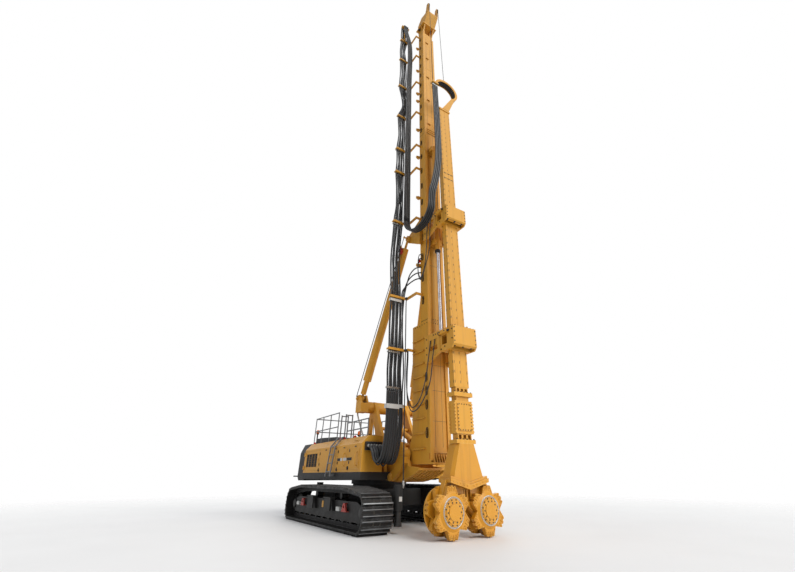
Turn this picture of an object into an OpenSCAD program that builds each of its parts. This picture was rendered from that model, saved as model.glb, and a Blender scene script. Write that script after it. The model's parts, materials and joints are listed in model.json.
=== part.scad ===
// Crawler-carried piling rig with a guided bar and a twin-wheel soil-mixing cutter.
// +X forward, +Y to the machine's left, +Z up. The origin lies on the ground under the slewing axis.

/* [Undercarriage] */
// Overall length of each track
track_length = 7000; // [6600:50:7400]
// Overall height of each track, grousers included
track_height = 1150; // [1080:10:1250]
// Width of the track shoes
shoe_w = 1000; // [800:10:1100]
// Distance between the middles of the two tracks
track_gauge = 3800; // [3700:10:4000]
// Number of shoes in each track
shoe_count = 57; // [50:1:60]
// Thickness of a shoe plate
shoe_t = 40; // [30:1:50]
// Height of the grousers on a shoe
grouser_h = 50; // [30:1:60]
// Depth of the chain links inside the shoes
link_h = 110; // [90:5:130]
// Outer radius of the front idler and rear sprocket
idler_r = 315; // [280:5:320]
// Radius of the bottom rollers
roller_r = 125; // [100:5:140]
// Number of bottom rollers under each side frame
roller_count = 10; // [6:1:11]
// Diameter of the slewing ring
slew_d = 2100; // [1800:10:2400]
// Radius of a lashing eye's hole
eye_r = 40; // [30:1:50]

/* [Upper structure] */
// Half of the upper structure's width
deck_half = 1800; // [1700:10:1900]
// Height of the deck's top face
deck_z = 1540; // [1500:5:1600]
// Height of the machinery house's side wall above the deck
house_wall_h = 840; // [700:10:1000]
// Height of the chamfer between the side wall and the roof
house_chamfer = 240; // [150:10:300]
// Thickness of the house's walls
house_t = 60; // [40:5:80]
// Height of the handrail above the roof
rail_h = 1050; // [900:10:1150]
// Diameter of the handrail tubes
rail_d = 42; // [34:1:60]

/* [Mast] */
// Width of the mast
mast_w = 760; // [700:10:820]
// Depth of the mast's lower section
mast_deep = 1080; // [950:10:1150]
// Depth of the mast's upper section
mast_slim = 500; // [450:10:560]
// Wall thickness of the mast
mast_t = 20; // [14:1:30]
// Distance of the mast's front face from the slewing axis
mast_front = 4000; // [3950:10:4050]
// Height of the mast's lower end
mast_foot_z = 1780; // [1740:5:1840]
// Height where the deep section ends
mast_step_z = 6400; // [6200:20:6600]
// Height of the top of the upper section
mast_top_z = 26800; // [26400:50:27200]
// Diameter of the feed cylinder's rod
feed_rod_d = 130; // [110:2:150]

/* [Bar and cutter] */
// Distance of the clamps' front faces from the slewing axis
clamp_front = 5600; // [5580:5:5650]
// Width of the bar
bar_w = 600; // [560:10:640]
// Depth of the bar
bar_d = 260; // [240:5:280]
// Wall thickness of the bar
bar_t = 22; // [16:1:30]
// Distance of the bar's front face from the slewing axis
bar_front = 5260; // [5240:5:5280]
// Height of the cutter wheels' axis
hub_z = 612; // [608:1:640]
// Distance between the two cutter wheels' axes
hub_pitch = 1290; // [1260:5:1400]
// Radius over the cutter teeth
tooth_r = 600; // [560:5:605]

/* [Hidden] */
$fn = 48;
gap = 5;
seat = 0.5;

yellow = [0.86, 0.60, 0.16];
black = [0.10, 0.10, 0.10];
dark = [0.22, 0.22, 0.23];
chrome = [0.85, 0.86, 0.88];
glass = [0.60, 0.75, 0.70, 0.4];
orange = [0.95, 0.45, 0.05];
red = [0.70, 0.08, 0.06];

// Track path: corners of the shoe line and the radii that round them
line_in = shoe_t + grouser_h;
path_x = track_length / 2 - line_in;
path_top = track_height - line_in;
path_shoulder = 0.8 * track_height;
path_end_r = 310;
path_top_r = 1600;
path_top_x = 0.56 * path_x;
path = [[path_x, line_in], [path_x, path_shoulder], [path_top_x, path_top],
        [-path_top_x, path_top], [-path_x, path_shoulder], [-path_x, line_in]];
path_r = [path_end_r, path_end_r, path_top_r, path_top_r, path_end_r, path_end_r];
idler_x = path_x - link_h - idler_r - seat;
idler_z = line_in + link_h + idler_r + seat;
roller_z = line_in + link_h + roller_r + seat;
roller_span = 2 * (idler_x - idler_r - roller_r) + 120;
frame_in = 260;
frame_plate = 40;
frame_top = 760;
frame_bottom = 470;
frame_x = idler_x + 120;

car_z = 560;
car_top = 1040;
ring_z = 1180;
deck_bottom = 1300;
sill_in = 160;

house_top = deck_z + house_wall_h + house_chamfer;
house_rear = -3640;
house_mid = -300;
house_front = 1960;
house_inner_y = -deck_half + 800;
door_rear = -3560;
door_front = -1900;
door_z0 = deck_z + 70;
door_z1 = deck_z + house_wall_h - 60;
door_hinges = [door_z0 + 60, door_z1 - 160];
panel_seams = [-1830, -860, -60, 960];
vent_x = 1120;
reach = clamp_front;
weight_side = -4330;
weight_rear = -4900;
weight_top = house_top + 20;

cab_x0 = 560;
cab_x1 = 2120;
cab_y0 = deck_half - 820;
cab_y1 = cab_y0 + 1000;
cab_z0 = 1360;
cab_z1 = 3060;
cab_t = 60;

beam_x = 520;
beam_z = 3720;
beam_d = 420;
beam_half = 1050;
stay_pin_low = [430, 1200, 4020];
stay_pin_top = [2850, 620, 10600];
stay_d = 330;
stay_rod_d = 220;

pivot_x = 2750;
pivot_z = 2060;
pivot_r = 90;
mast_back_low = mast_front - mast_deep;
mast_back_up = mast_front - mast_slim;

clamp_lo_z = 5000;
clamp_hi_z = 10180;
clamp_h = 740;
clamp_half = 500;
bar_back = bar_front - bar_d;
bar_z0 = 3830;
bar_z1 = 17500;
splice_z = 12740;
feed_x = 4250;
feed_z0 = 9500;
feed_z1 = 15700;

cut_front = 5430;
cut_back = 4750;
cut_mid = (cut_front + cut_back) / 2;
leg_t = 190;
disc_t = 130;
shaft_r = 200;

// Vector helpers
function unit(v) = v / norm(v);
function flat(ps) = [for (a = ps) each a];

// Rounded closed path: for each corner the tangent points and the arc's centre
function corner(i, ps, rs) =
    let (n = len(ps), p = ps[i], a = unit(ps[(i + n - 1) % n] - p), b = unit(ps[(i + 1) % n] - p),
         half = acos(a * b) / 2, cut = rs[i] / tan(half))
    [p + a * cut, p + b * cut, p + unit(a + b) * rs[i] / sin(half), rs[i] * (180 - 2 * half) * PI / 180,
     180 - 2 * half];
function corners(ps, rs) = [for (i = [0 : len(ps) - 1]) corner(i, ps, rs)];
function legs(cs) = [for (i = [0 : len(cs) - 1])
    let (q = cs[(i + 1) % len(cs)]) [cs[i][3], norm(q[0] - cs[i][1])]];
function total(ls, i = 0) = i >= len(ls) ? 0 : ls[i][0] + ls[i][1] + total(ls, i + 1);
function turn(v, a) = [v[0] * cos(a) - v[1] * sin(a), v[0] * sin(a) + v[1] * cos(a)];
// Place and heading on the path at a distance from its first tangent point
function along(s, cs, ls, i = 0) =
    s < ls[i][0] ? let (a = s / ls[i][0] * cs[i][4], p = cs[i][2] + turn(cs[i][0] - cs[i][2], a))
        [p, turn(unit(cs[i][0] - cs[i][2]), a)]
    : s < ls[i][0] + ls[i][1] ? let (q = cs[(i + 1) % len(cs)][0], d = unit(q - cs[i][1]))
        [cs[i][1] + d * (s - ls[i][0]), turn(d, -90)]
    : along(s - ls[i][0] - ls[i][1], cs, ls, (i + 1) % len(cs));
function offset_path(cs, inset, steps) = flat([for (c = cs)
    [for (k = [0 : steps]) let (n = turn(unit(c[0] - c[2]), k / steps * c[4]), r = norm(c[0] - c[2]))
        c[2] + n * (r - inset)]]);

track_cs = corners(path, path_r);
track_ls = legs(track_cs);
track_total = total(track_ls);
shoe_pitch = track_total / shoe_count;

// The shoes between the end ones stand clear of the ground by this much, so that the ends carry the load
sole_relief = 3;
sole_x = path_x - path_end_r - 0.8 * shoe_pitch;
function sole(p) = [p[0], p[1] < sole_relief && abs(p[0]) < sole_x ? sole_relief : p[1]];
// One shoe's outline as pairs of distance along the path and height above the shoe line
function shoe_profile(p) = [[-0.47 * p, shoe_t], [-0.40 * p, line_in], [-0.28 * p, line_in],
    [-0.22 * p, shoe_t], [0.10 * p, shoe_t], [0.16 * p, line_in - 12], [0.28 * p, line_in - 12],
    [0.34 * p, shoe_t], [0.47 * p, shoe_t], [0.5 * p, shoe_t / 2]];
function shoe_points() = flat([for (k = [0 : shoe_count - 1])
    [for (q = shoe_profile(shoe_pitch))
        let (f = along((k + 0.5) * shoe_pitch + q[0], track_cs, track_ls)) sole(f[0] + f[1] * q[1])]]);

// Tube swept along a list of points, closed at both ends
function tangent(ps, i) = unit(ps[min(i + 1, len(ps) - 1)] - ps[max(i - 1, 0)]);
function ring(ps, i, r, n, side) =
    let (t = tangent(ps, i), u = unit(cross(t, side)), v = cross(t, u))
    [for (k = [0 : n - 1]) ps[i] + r * (u * cos(360 * k / n) + v * sin(360 * k / n))];
module hose(ps, r, side, n = 8) {
    m = len(ps);
    points = flat([for (i = [0 : m - 1]) ring(ps, i, r, n, side)]);
    walls = flat([for (i = [0 : m - 2]) [for (k = [0 : n - 1])
        [i * n + k, i * n + (k + 1) % n, (i + 1) * n + (k + 1) % n, (i + 1) * n + k]]]);
    caps = [[for (k = [n - 1 : -1 : 0]) k], [for (k = [0 : n - 1]) (m - 1) * n + k]];
    polyhedron(points = points, faces = concat(walls, caps), convexity = 6);
}

module box(lo, hi) { translate(lo) cube(hi - lo); }
module both_sides() {
    children();
    mirror([0, 1, 0]) children();
}
module rod_x(x0, x1, y, z, r) { translate([x0, y, z]) rotate([0, 90, 0]) cylinder(h = x1 - x0, r = r); }
module rod_y(x, y0, y1, z, r) { translate([x, y0, z]) rotate([-90, 0, 0]) cylinder(h = y1 - y0, r = r); }
module rod_z(x, y, z0, z1, r) { translate([x, y, z0]) cylinder(h = z1 - z0, r = r); }
module strut(a, b, r) {
    d = b - a;
    translate(a)
        rotate([0, acos(d[2] / norm(d)), atan2(d[1], d[0])])
            cylinder(h = norm(d), r = r);
}
module side_plate(y0, y1, points) {
    translate([0, y1, 0]) rotate([90, 0, 0]) linear_extrude(height = y1 - y0) polygon(points);
}
module front_plate(x0, x1, points) {
    translate([x0, 0, 0]) rotate([90, 0, 90]) linear_extrude(height = x1 - x0) polygon(points);
}

// Hinge: lugs with a pin on the frame, and a leaf with a knuckle on the door
module hinge_lugs(x, wall, s, z) {
    rod_z(x, wall + s * 30, z - 25, z + 125, 12);
    for (h = [z - 25, z + 105])
        box([x - 26, min(wall, wall + s * 56), h], [x + 26, max(wall, wall + s * 56), h + 20]);
}
module hinge_leaf(x, wall, s, z) {
    difference() {
        union() {
            rod_z(x, wall + s * 30, z + 1, z + 99, 24);
            box([x, min(wall + s * 8, wall + s * 30), z + 1], [x + 110, max(wall + s * 8,
                wall + s * 30), z + 99]);
            box([x + 45, min(wall - s, wall + s * 9), z + 1], [x + 110, max(wall - s, wall + s * 9),
                z + 99]);
        }
        rod_z(x, wall + s * 30, z - 1, z + 101, 12 + seat);
    }
}

// Undercarriage
module car_body() {
    color(black) {
        difference() {
            box([-1350, -1150, car_z], [1350, 1150, car_top]);
            box([-700, -700, car_z - 1], [700, 700, car_top - 60]);
        }
        rod_z(0, 0, car_top, ring_z, slew_d / 2 - 60);
        both_sides() for (x = [-1050, 1050])
            box([x - 260, 1140, car_z], [x + 260, track_gauge / 2 - frame_in, frame_top - 40]);
        both_sides() for (x = [-1, 1]) {
            side_plate(jack_y - 80, jack_y + 80, [[x * 1340, car_z], [x * 3140, 760],
                [x * 3140, 1060], [x * 1340, car_top]]);
            difference() {
                rod_z(x * jack_x, jack_y, jack_z0, jack_z1, jack_r);
                rod_z(x * jack_x, jack_y, jack_z0 - 1, jack_z1 - 40, jack_rod_r + seat);
            }
        }
    }
}
jack_x = 3250;
jack_y = track_gauge / 2 - 800;
jack_z0 = 560;
jack_z1 = 1200;
jack_r = 135;
jack_rod_r = 90;
module jack_foot(x, y) {
    color(dark) {
        rod_z(x, y, 270, jack_z1 - 60, jack_rod_r);
        rod_z(x, y, 180, 270, 120);
    }
}
module jack_foot_front_right() { jack_foot(jack_x, -jack_y); }
module jack_foot_front_left() { jack_foot(jack_x, jack_y); }
module jack_foot_rear_right() { jack_foot(-jack_x, -jack_y); }
module jack_foot_rear_left() { jack_foot(-jack_x, jack_y); }

module slew_ring() {
    color(dark) translate([0, 0, ring_z]) difference() {
        cylinder(h = deck_bottom - ring_z - 0.5, r = slew_d / 2);
        translate([0, 0, -1]) cylinder(h = deck_bottom, r = slew_d / 2 - 160);
    }
}

module side_frame() {
    translate([0, track_gauge / 2, 0]) {
        box([-frame_x + 500, -frame_in, frame_bottom], [frame_x - 500, frame_in, frame_top]);
        for (y = [-frame_in, frame_in - frame_plate])
            side_plate(y, y + frame_plate, [[-frame_x, idler_z - 110], [-frame_x + 260, roller_z - 60],
                [frame_x - 260, roller_z - 60], [frame_x, idler_z - 110], [frame_x, idler_z + 110],
                [frame_x - 500, frame_top], [-frame_x + 500, frame_top], [-frame_x, idler_z + 110]]);
        for (x = [-950, 650]) {
            box([x - 260, frame_in - 1, frame_bottom], [x + 260, shoe_w / 2 - 90, frame_top + 40]);
            box([x - 300, frame_in - 1, frame_top + 39], [x + 300, shoe_w / 2 - 60, frame_top + 70]);
            for (k = [-1, 1])
                side_plate(frame_in - 1, shoe_w / 2 - 130, [[x + k * 255, frame_top],
                    [x + k * 420, frame_bottom],
                    [x + k * 255, frame_bottom]]);
        }
    }
}
module side_frame_left() { color(black) side_frame(); }
module side_frame_right() { color(black) mirror([0, 1, 0]) side_frame(); }

module track() {
    translate([0, track_gauge / 2, 0]) {
        translate([0, shoe_w / 2, 0]) rotate([90, 0, 0]) linear_extrude(height = shoe_w)
            difference() {
                polygon(shoe_points());
                polygon(offset_path(track_cs, 0, 5));
            }
        translate([0, 170, 0]) rotate([90, 0, 0]) linear_extrude(height = 340)
            difference() {
                polygon(offset_path(track_cs, 0, 5));
                polygon(offset_path(track_cs, link_h, 5));
            }
    }
}
module track_left() { color(black) track(); }
module track_right() { color(black) mirror([0, 1, 0]) track(); }

module track_wheels() {
    inner = frame_in - frame_plate;
    translate([0, track_gauge / 2, 0]) {
        for (x = [-idler_x, idler_x]) {
            rod_y(x, -90, 90, idler_z, idler_r);
            rod_y(x, -inner, inner, idler_z, 120);
        }
        for (k = [0 : roller_count - 1]) {
            x = -roller_span / 2 + k * roller_span / (roller_count - 1);
            rod_y(x, -inner, inner, roller_z, 45);
            for (y = [-160, 80]) rod_y(x, y, y + 80, roller_z, roller_r);
        }
        for (x = [-1100, 1100]) {
            rod_y(x, -120, 120, path_top - link_h - 90 - seat, 90);
            box([x - 50, -50, frame_top], [x + 50, 50, path_top - link_h - 100]);
        }
    }
}
module track_wheels_left() { color(dark) track_wheels(); }
module track_wheels_right() { color(dark) mirror([0, 1, 0]) track_wheels(); }

eye_x = 1900;
eye_z = 620;
eye_t = 50;
eye_off = 50;
module lashing_eyes() {
    base = track_gauge / 2 + frame_in;
    color(red) both_sides() for (x = [-eye_x, eye_x])
        translate([x, base, eye_z]) {
            difference() {
                union() {
                    side_plate(eye_off, eye_off + eye_t, [[-170, -110], [170, -110], [60, 85], [-60, 85]]);
                    rod_y(0, eye_off, eye_off + eye_t, 0, 100);
                }
                rod_y(0, eye_off - 1, eye_off + eye_t + 1, 0, eye_r);
            }
            box([-170, 0, -130], [170, eye_off + eye_t, -105]);
            box([-60, 0, 70], [60, eye_off + 1, 95]);
        }
}

// Upper structure
module platform() {
    color(black) {
        difference() {
            box([house_rear, -deck_half + sill_in, deck_bottom], [1500, deck_half - sill_in, deck_z]);
            box([cab_x0 - 60, cab_y0 - 40, cab_z0 - seat], [1501, deck_half, deck_z + 1]);
            box([house_rear + 200, -deck_half + 300, deck_bottom - 1], [-1300, -200, deck_z - 60]);
            box([house_rear + 200, 200, deck_bottom - 1], [-1300, deck_half - 300, deck_z - 60]);
        }
        both_sides() box([house_rear, deck_half - sill_in, deck_bottom + 20],
            [cab_x0 - 60, deck_half, deck_z]);
        box([cab_x0 - 60, -deck_half, deck_bottom + 20], [house_front, -deck_half + sill_in, deck_z]);
        box([1490, -deck_half + sill_in - 1, deck_bottom + 20], [house_front, -560, deck_z]);
        box([cab_x0 - 60, deck_half - sill_in - 1, deck_bottom + 20], [cab_x1, cab_y1 - 40, cab_z0 - seat]);
    }
}
module rear_platform() {
    color(black) {
        box([-reach, -deck_half + 240, 1390], [weight_rear - seat, deck_half - 240, 1440]);
        both_sides() side_plate(500, 560, [[-reach + 150, 1390], [weight_rear - seat, 1390],
            [weight_rear - seat, 1270]]);
    }
}
module counterweight() {
    low_y = deck_half - 100;
    side_y = deck_half - 20;
    roof_y = deck_half - 240;
    bend_y = deck_half - 550;
    color(black)
        intersection() {
            front_plate(weight_rear, house_rear - seat, [[-low_y, 1260], [low_y, 1260],
                [side_y, 1400], [side_y, 2300], [roof_y, weight_top], [-roof_y, weight_top],
                [-side_y, 2300], [-side_y, 1400]]);
            translate([0, 0, 1200]) linear_extrude(height = 1500) polygon([[house_rear, -deck_half],
                [weight_side, -deck_half], [weight_rear + 90, -bend_y], [weight_rear, -700],
                    [weight_rear, 700],
                [weight_rear + 90, bend_y], [weight_side, deck_half], [house_rear, deck_half]]);
        }
}
function house_section(y0, y1, t) = [[y0 + t, deck_z], [y0 + t, deck_z + house_wall_h - 0.3 * t],
    [y0 + house_chamfer + 0.6 * t, house_top - t], [y1, house_top - t], [y1, deck_z]];
module house_hollow() {
    front_plate(house_rear + house_t, house_mid - house_t, concat(house_section(-deck_half, 1, house_t),
        [[0, deck_z - 1], [-deck_half + house_t, deck_z - 1]]));
}
module house_shell() {
    fold = deck_z + house_wall_h;
    color(yellow) {
        difference() {
            union() {
                front_plate(house_rear, house_mid, house_section(-deck_half, 1, 0));
                mirror([0, 1, 0]) front_plate(house_rear, house_mid, house_section(-deck_half, 1, 0));
                front_plate(house_mid - 1, house_front, house_section(-deck_half, house_inner_y, 0));
            }
            house_hollow();
            mirror([0, 1, 0]) house_hollow();
            front_plate(house_mid - house_t - 1, house_front - house_t, concat(
                house_section(-deck_half, house_inner_y - house_t, house_t),
                [[house_inner_y - house_t, deck_z - 1], [-deck_half + house_t, deck_z - 1]]));
            box([door_rear, -deck_half - 1, door_z0], [door_front, -deck_half + house_t + 1, door_z1]);
            // Seams between the side panels
            for (x = panel_seams)
                box([x - 6, -deck_half - 1, deck_z + 30], [x + 6, -deck_half + 8, fold - 30]);
            // Vent slots in the chamfer
            for (k = [0 : 4])
                box([vent_x + k * 90, -deck_half - 1, fold + 45],
                    [vent_x + 55 + k * 90, -deck_half + 190, fold + 120]);
        }
        // Raised panel frames on the side wall
        for (x = [house_mid + 330, house_mid + 1330])
            box([x, -deck_half - 12, deck_z + 90], [x + 760, -deck_half + 1, fold - 110]);
        box([door_front + 130, -deck_half - 12, deck_z + 90], [house_mid - 560, -deck_half + 1,
            fold - 110]);
        for (z = door_hinges) hinge_lugs(door_rear - 30, -deck_half, -1, z);
    }
}
module house_door() {
    color(yellow) {
        difference() {
            box([door_rear + gap, -deck_half, door_z0 + gap],
                [door_front - gap, -deck_half + house_t, door_z1 - gap]);
            for (k = [0 : 3])
                box([door_rear + 180 + k * 330, -deck_half - 1, door_z0 + 130],
                    [door_rear + 430 + k * 330, -deck_half + house_t + 1, door_z1 - 110]);
        }
        // Louvre blades in the four openings
        for (k = [0 : 3])
            for (j = [0 : 4]) {
                z = door_z0 + 165 + j * 82;
                side_x = door_rear + 180 + k * 330;
                front_plate(side_x - 1, side_x + 251, [[-deck_half + 2, z], [-deck_half + 12, z],
                    [-deck_half + house_t - 4, z + 60], [-deck_half + house_t - 14, z + 60]]);
            }
        box([door_front - 120, -deck_half - 14, (door_z0 + door_z1) / 2 - 70],
            [door_front - 60, -deck_half + 1, (door_z0 + door_z1) / 2 + 70]);
        for (z = door_hinges) hinge_leaf(door_rear - 30, -deck_half, -1, z);
    }
}
module engine_block() {
    color(dark) box([house_rear + 300, -1300, deck_z], [house_mid - 600, 1300, deck_z + 800]);
}
module cooler_cover() {
    color(dark) {
        side_plate(-1400, 1400, [[-3500, house_top], [-1300, house_top], [-1480, house_top + 150],
            [-3500, house_top + 230]]);
        for (k = [0 : 7])
            box([-3400 + k * 230, -1300, house_top + 150], [-3280 + k * 230, 1300,
                house_top + 250 - k * 9]);
    }
}
rail_x = [-3560, -2700, -1840, -980];
front_rail_x = [-60, 540, 1140, 1740];
rail_y = deck_half - 300;
module roof_rails() {
    color(dark) {
        both_sides() {
            for (x = rail_x) rod_z(x, rail_y, house_top, house_top + rail_h, rail_d / 2);
            for (h = [0.5, 1])
                rod_x(rail_x[0], rail_x[3], rail_y, house_top + h * rail_h - rail_d / 2, rail_d / 2);
        }
        for (h = [0.5, 1])
            rod_y(rail_x[0], -rail_y, rail_y, house_top + h * rail_h - rail_d / 2, rail_d / 2);
        // Lower rail over the front part of the roof
        for (x = front_rail_x) rod_z(x, -rail_y, house_top, house_top + 0.55 * rail_h, rail_d / 2);
        for (h = [0.28, 0.55])
            rod_x(front_rail_x[0], front_rail_x[3], -rail_y, house_top + h * rail_h - rail_d / 2,
                rail_d / 2);
    }
}
ladder_x = -420;
ladder_w = 420;
module ladder() {
    knee = [-deck_half - 60, deck_z + house_wall_h];
    crest = [-deck_half + 200, house_top + 60];
    post_y = -deck_half + 280;
    head = house_top + rail_h - 160;
    color(dark) {
        for (side = [-1, 1]) {
            x = ladder_x + side * ladder_w / 2;
            strut([x, -deck_half - 160, deck_z - 60], [x, knee[0], knee[1]], 25);
            translate([x, knee[0], knee[1]]) sphere(r = 27);
            strut([x, knee[0], knee[1]], [x, crest[0], crest[1]], 25);
            translate([x, crest[0], crest[1]]) sphere(r = 27);
            strut([x, crest[0], crest[1]], [x, post_y, house_top + 90], 22);
            rod_z(x, post_y, house_top, head, 25);
            rod_z(x, post_y + 280, house_top, head, 25);
            rod_y(x, post_y, post_y + 280, head - 30, 20);
            box([x - 32, -deck_half - 182, deck_z - 130], [x + 32, -deck_half, deck_z - 50]);
        }
        for (k = [0 : 3])
            rod_x(ladder_x - ladder_w / 2, ladder_x + ladder_w / 2, -deck_half - 150 + k * 26,
                deck_z + 20 + k * 270, 18);
    }
}
module beacons() {
    color(orange) for (p = [[-3780, -deck_half + 500, weight_top, 420],
        [440, -deck_half + 600, house_top, 90]])
        translate([p[0], p[1], p[2]]) {
            cylinder(h = p[3] + 1, r = 25);
            translate([0, 0, p[3]]) cylinder(h = 110, r = 65);
            translate([0, 0, p[3] + 110]) sphere(r = 65);
        }
}

// Cab
cab_side = [[cab_x0, cab_z0], [cab_x1 - 120, cab_z0], [cab_x1, cab_z0 + 500], [cab_x1, cab_z0 + 900],
    [cab_x1 - 220, cab_z1], [cab_x0, cab_z1]];
cab_door_x0 = cab_x0 + 420;
cab_door_x1 = cab_x1 - 260;
cab_hinges = [cab_z0 + 220, cab_z1 - 360];
module cab_shell() {
    color(yellow) difference() {
        side_plate(cab_y0, cab_y1, cab_side);
        side_plate(cab_y0 + cab_t, cab_y1 - cab_t, [[cab_x0 + cab_t, cab_z0 + cab_t],
            [cab_x1 - 160, cab_z0 + cab_t], [cab_x1 - cab_t, cab_z0 + 510], [cab_x1 - cab_t, cab_z0 + 890],
            [cab_x1 - 260, cab_z1 - cab_t], [cab_x0 + cab_t, cab_z1 - cab_t]]);
        box([cab_x0 + 700, cab_y0 + 130, cab_z0 + 420], [cab_x1 + 1, cab_y1 - 130, cab_z1 - 150]);
        box([cab_x0 + 140, cab_y0 - 1, cab_z0 + 800], [cab_x1 - 330, cab_y0 + cab_t + 1, cab_z1 - 160]);
        box([cab_x0 - 1, cab_y0 + 160, cab_z0 + 900], [cab_x0 + cab_t + 1, cab_y1 - 160, cab_z1 - 200]);
        box([cab_door_x0, cab_y1 - cab_t - 1, cab_z0 + 100], [cab_door_x1, cab_y1 + 1, cab_z1 - 120]);
    }
    color(yellow) for (z = cab_hinges) hinge_lugs(cab_door_x0 - 30, cab_y1, 1, z);
}
module cab_door() {
    color(yellow) difference() {
        box([cab_door_x0 + gap, cab_y1 - cab_t, cab_z0 + 100 + gap],
            [cab_door_x1 - gap, cab_y1, cab_z1 - 120 - gap]);
        box([cab_door_x0 + 90, cab_y1 - cab_t - 1, cab_z0 + 620],
            [cab_door_x1 - 90, cab_y1 + 1, cab_z1 - 220]);
    }
    color(yellow) for (z = cab_hinges) hinge_leaf(cab_door_x0 - 30, cab_y1, 1, z);
}
module cab_door_glass() {
    color(glass) box([cab_door_x0 + 90 + seat, cab_y1 - 40, cab_z0 + 620 + seat],
        [cab_door_x1 - 90 - seat, cab_y1 - 28, cab_z1 - 220 - seat]);
}
module cab_glass() {
    color(glass) {
        intersection() {
            difference() {
                side_plate(cab_y0 + 130 + seat, cab_y1 - 130 - seat, cab_side);
                translate([-20, 0, 0]) side_plate(cab_y0, cab_y1, cab_side);
            }
            box([cab_x0 + 700, cab_y0, cab_z0 + 420 + seat], [cab_x1 + 1, cab_y1, cab_z1 - 150 - seat]);
        }
        box([cab_x0 + 140 + seat, cab_y0 + 20, cab_z0 + 800 + seat],
            [cab_x1 - 330 - seat, cab_y0 + 32, cab_z1 - 160 - seat]);
        box([cab_x0 + 20, cab_y0 + 160 + seat, cab_z0 + 900 + seat],
            [cab_x0 + 32, cab_y1 - 160 - seat, cab_z1 - 200 - seat]);
    }
}
module cab_seat() {
    y = (cab_y0 + cab_y1) / 2;
    floor_z = cab_z0 + cab_t;
    color(dark) {
        box([cab_x0 + 380, y - 150, floor_z], [cab_x0 + 680, y + 150, floor_z + 300]);
        box([cab_x0 + 300, y - 250, floor_z + 299], [cab_x0 + 800, y + 250, floor_z + 430]);
        side_plate(y - 240, y + 240, [[cab_x0 + 300, floor_z + 429], [cab_x0 + 420, floor_z + 429],
            [cab_x0 + 300, floor_z + 1080], [cab_x0 + 200, floor_z + 1080]]);
    }
}

// Mast support
module gantry() {
    color(yellow) {
        rod_y(beam_x, -beam_half, beam_half, beam_z, beam_d / 2);
        both_sides() {
            difference() {
                side_plate(640, 760, [[beam_x - 150, beam_z - 150], [beam_x - 60, beam_z + 200],
                    [beam_x + 150, beam_z + 190], [beam_x + 330, beam_z - 40], [1180, 3080], [1480, 2560],
                    [1640, 2100], [1700, deck_z], [1100, deck_z], [1090, 2000], [1020, 2400], [820, 2960],
                    [560, 3340]]);
                rod_y(1290, 600, 800, 2330, 70);
            }
            side_plate(650, 750, [[beam_x - 160, beam_z], [beam_x + 60, beam_z - 60], [260, deck_z],
                [-60, deck_z]]);
            // Web between the two arms
            side_plate(670, 730, [[250, 1900], [1150, 1900], [1120, 2200], [330, 2200]]);
            difference() {
                side_plate(1030, 1370, [[beam_x - 230, beam_z - 200], [beam_x + 220, beam_z - 200],
                    [beam_x + 220, beam_z + 130], [stay_pin_low[0] + 130, stay_pin_low[2] + 130],
                    [stay_pin_low[0] - 130, stay_pin_low[2] + 130], [beam_x - 230, beam_z + 80]]);
                box([stay_pin_low[0] - 170, 1100, stay_pin_low[2] - 170],
                    [stay_pin_low[0] + 330, 1300, stay_pin_low[2] + 300]);
            }
            rod_y(stay_pin_low[0], 1090, 1310, stay_pin_low[2], 55);
            for (y = [1010, 1369]) rod_y(stay_pin_low[0], y, y + 21, stay_pin_low[2], 110);
        }
    }
}
boom_belly = [[1500 + seat, 1310], [1960, 1275], [2350, 1275], [2700, 1315], [3000, 1390], [3330, 1490],
    [3600, 1585]];
boom_skin = 55;
function lifted(ps, h) = [for (i = [len(ps) - 1 : -1 : 0]) [ps[i][0], ps[i][1] + h]];
module front_bracket() {
    lug = [2080, 1390];
    color(yellow) {
        // Side cheeks that carry the mast's pivot
        both_sides() side_plate(440, 560, concat(boom_belly, [[3600, 1640], [3300, 1670], [2960, 1700],
            [2860, pivot_z - 160], [2900, pivot_z], [2860, pivot_z + 130], [2640, pivot_z + 130],
                [2480, 2420],
            [2250, 2420], [1950, 1980], [1500 + seat, 1900]]));
        // Curved belly with ribs
        side_plate(-441, 441, concat(boom_belly, lifted(boom_belly, boom_skin)));
        for (k = [-3 : 3])
            side_plate(k * 140 - 12, k * 140 + 12, concat([for (q = boom_belly) [q[0], q[1] - 26]],
                lifted(boom_belly, 5)));
        // Elbow arms outside the cheeks, with a lug at their foot
        both_sides() {
            difference() {
                union() {
                    side_plate(559, 720, [[2000, 1290], [2160, 1290], [2400, 1390], [2660, 1560],
                        [2900, 1790],
                        [2900, 1960], [2640, 1990], [2480, 1790], [2260, 1600], [2000, 1500]]);
                    rod_y(lug[0], 559, 760, lug[1], 112);
                }
                rod_y(lug[0], 540, 780, lug[1], 45);
            }
            rod_y(pivot_x, 380, 450, pivot_z, pivot_r - 0.1);
            rod_y(pivot_x, 559, 640, pivot_z, 150);
        }
    }
}
luff_low = [2350, 2330];
luff_high = [1000, 2950];
module luff_cylinders() {
    color(yellow) both_sides() {
        d = (luff_high - luff_low) / norm(luff_high - luff_low);
        mid = luff_low + d * 520;
        strut([mid[0], 250, mid[1]], [luff_high[0], 250, luff_high[1]], 95);
        strut([luff_low[0], 250, luff_low[1]], [mid[0] + d[0] * 50, 250, mid[1] + d[1] * 50], 55);
        rod_y(luff_low[0], 160, 440 - seat, luff_low[1], 60);
        rod_y(luff_high[0], 160, 640 - seat, luff_high[1], 60);
    }
}
port_y = -deck_half + 150;
port_pitch = 105;
module hose_manifold() {
    color(dark) {
        box([house_front, port_y - 50, 2160], [house_front + 120, port_y + 570, 2420]);
        for (k = [0 : 5]) rod_x(house_front + 119, house_front + 180, port_y + k * port_pitch, 2290, 48);
    }
}

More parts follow.
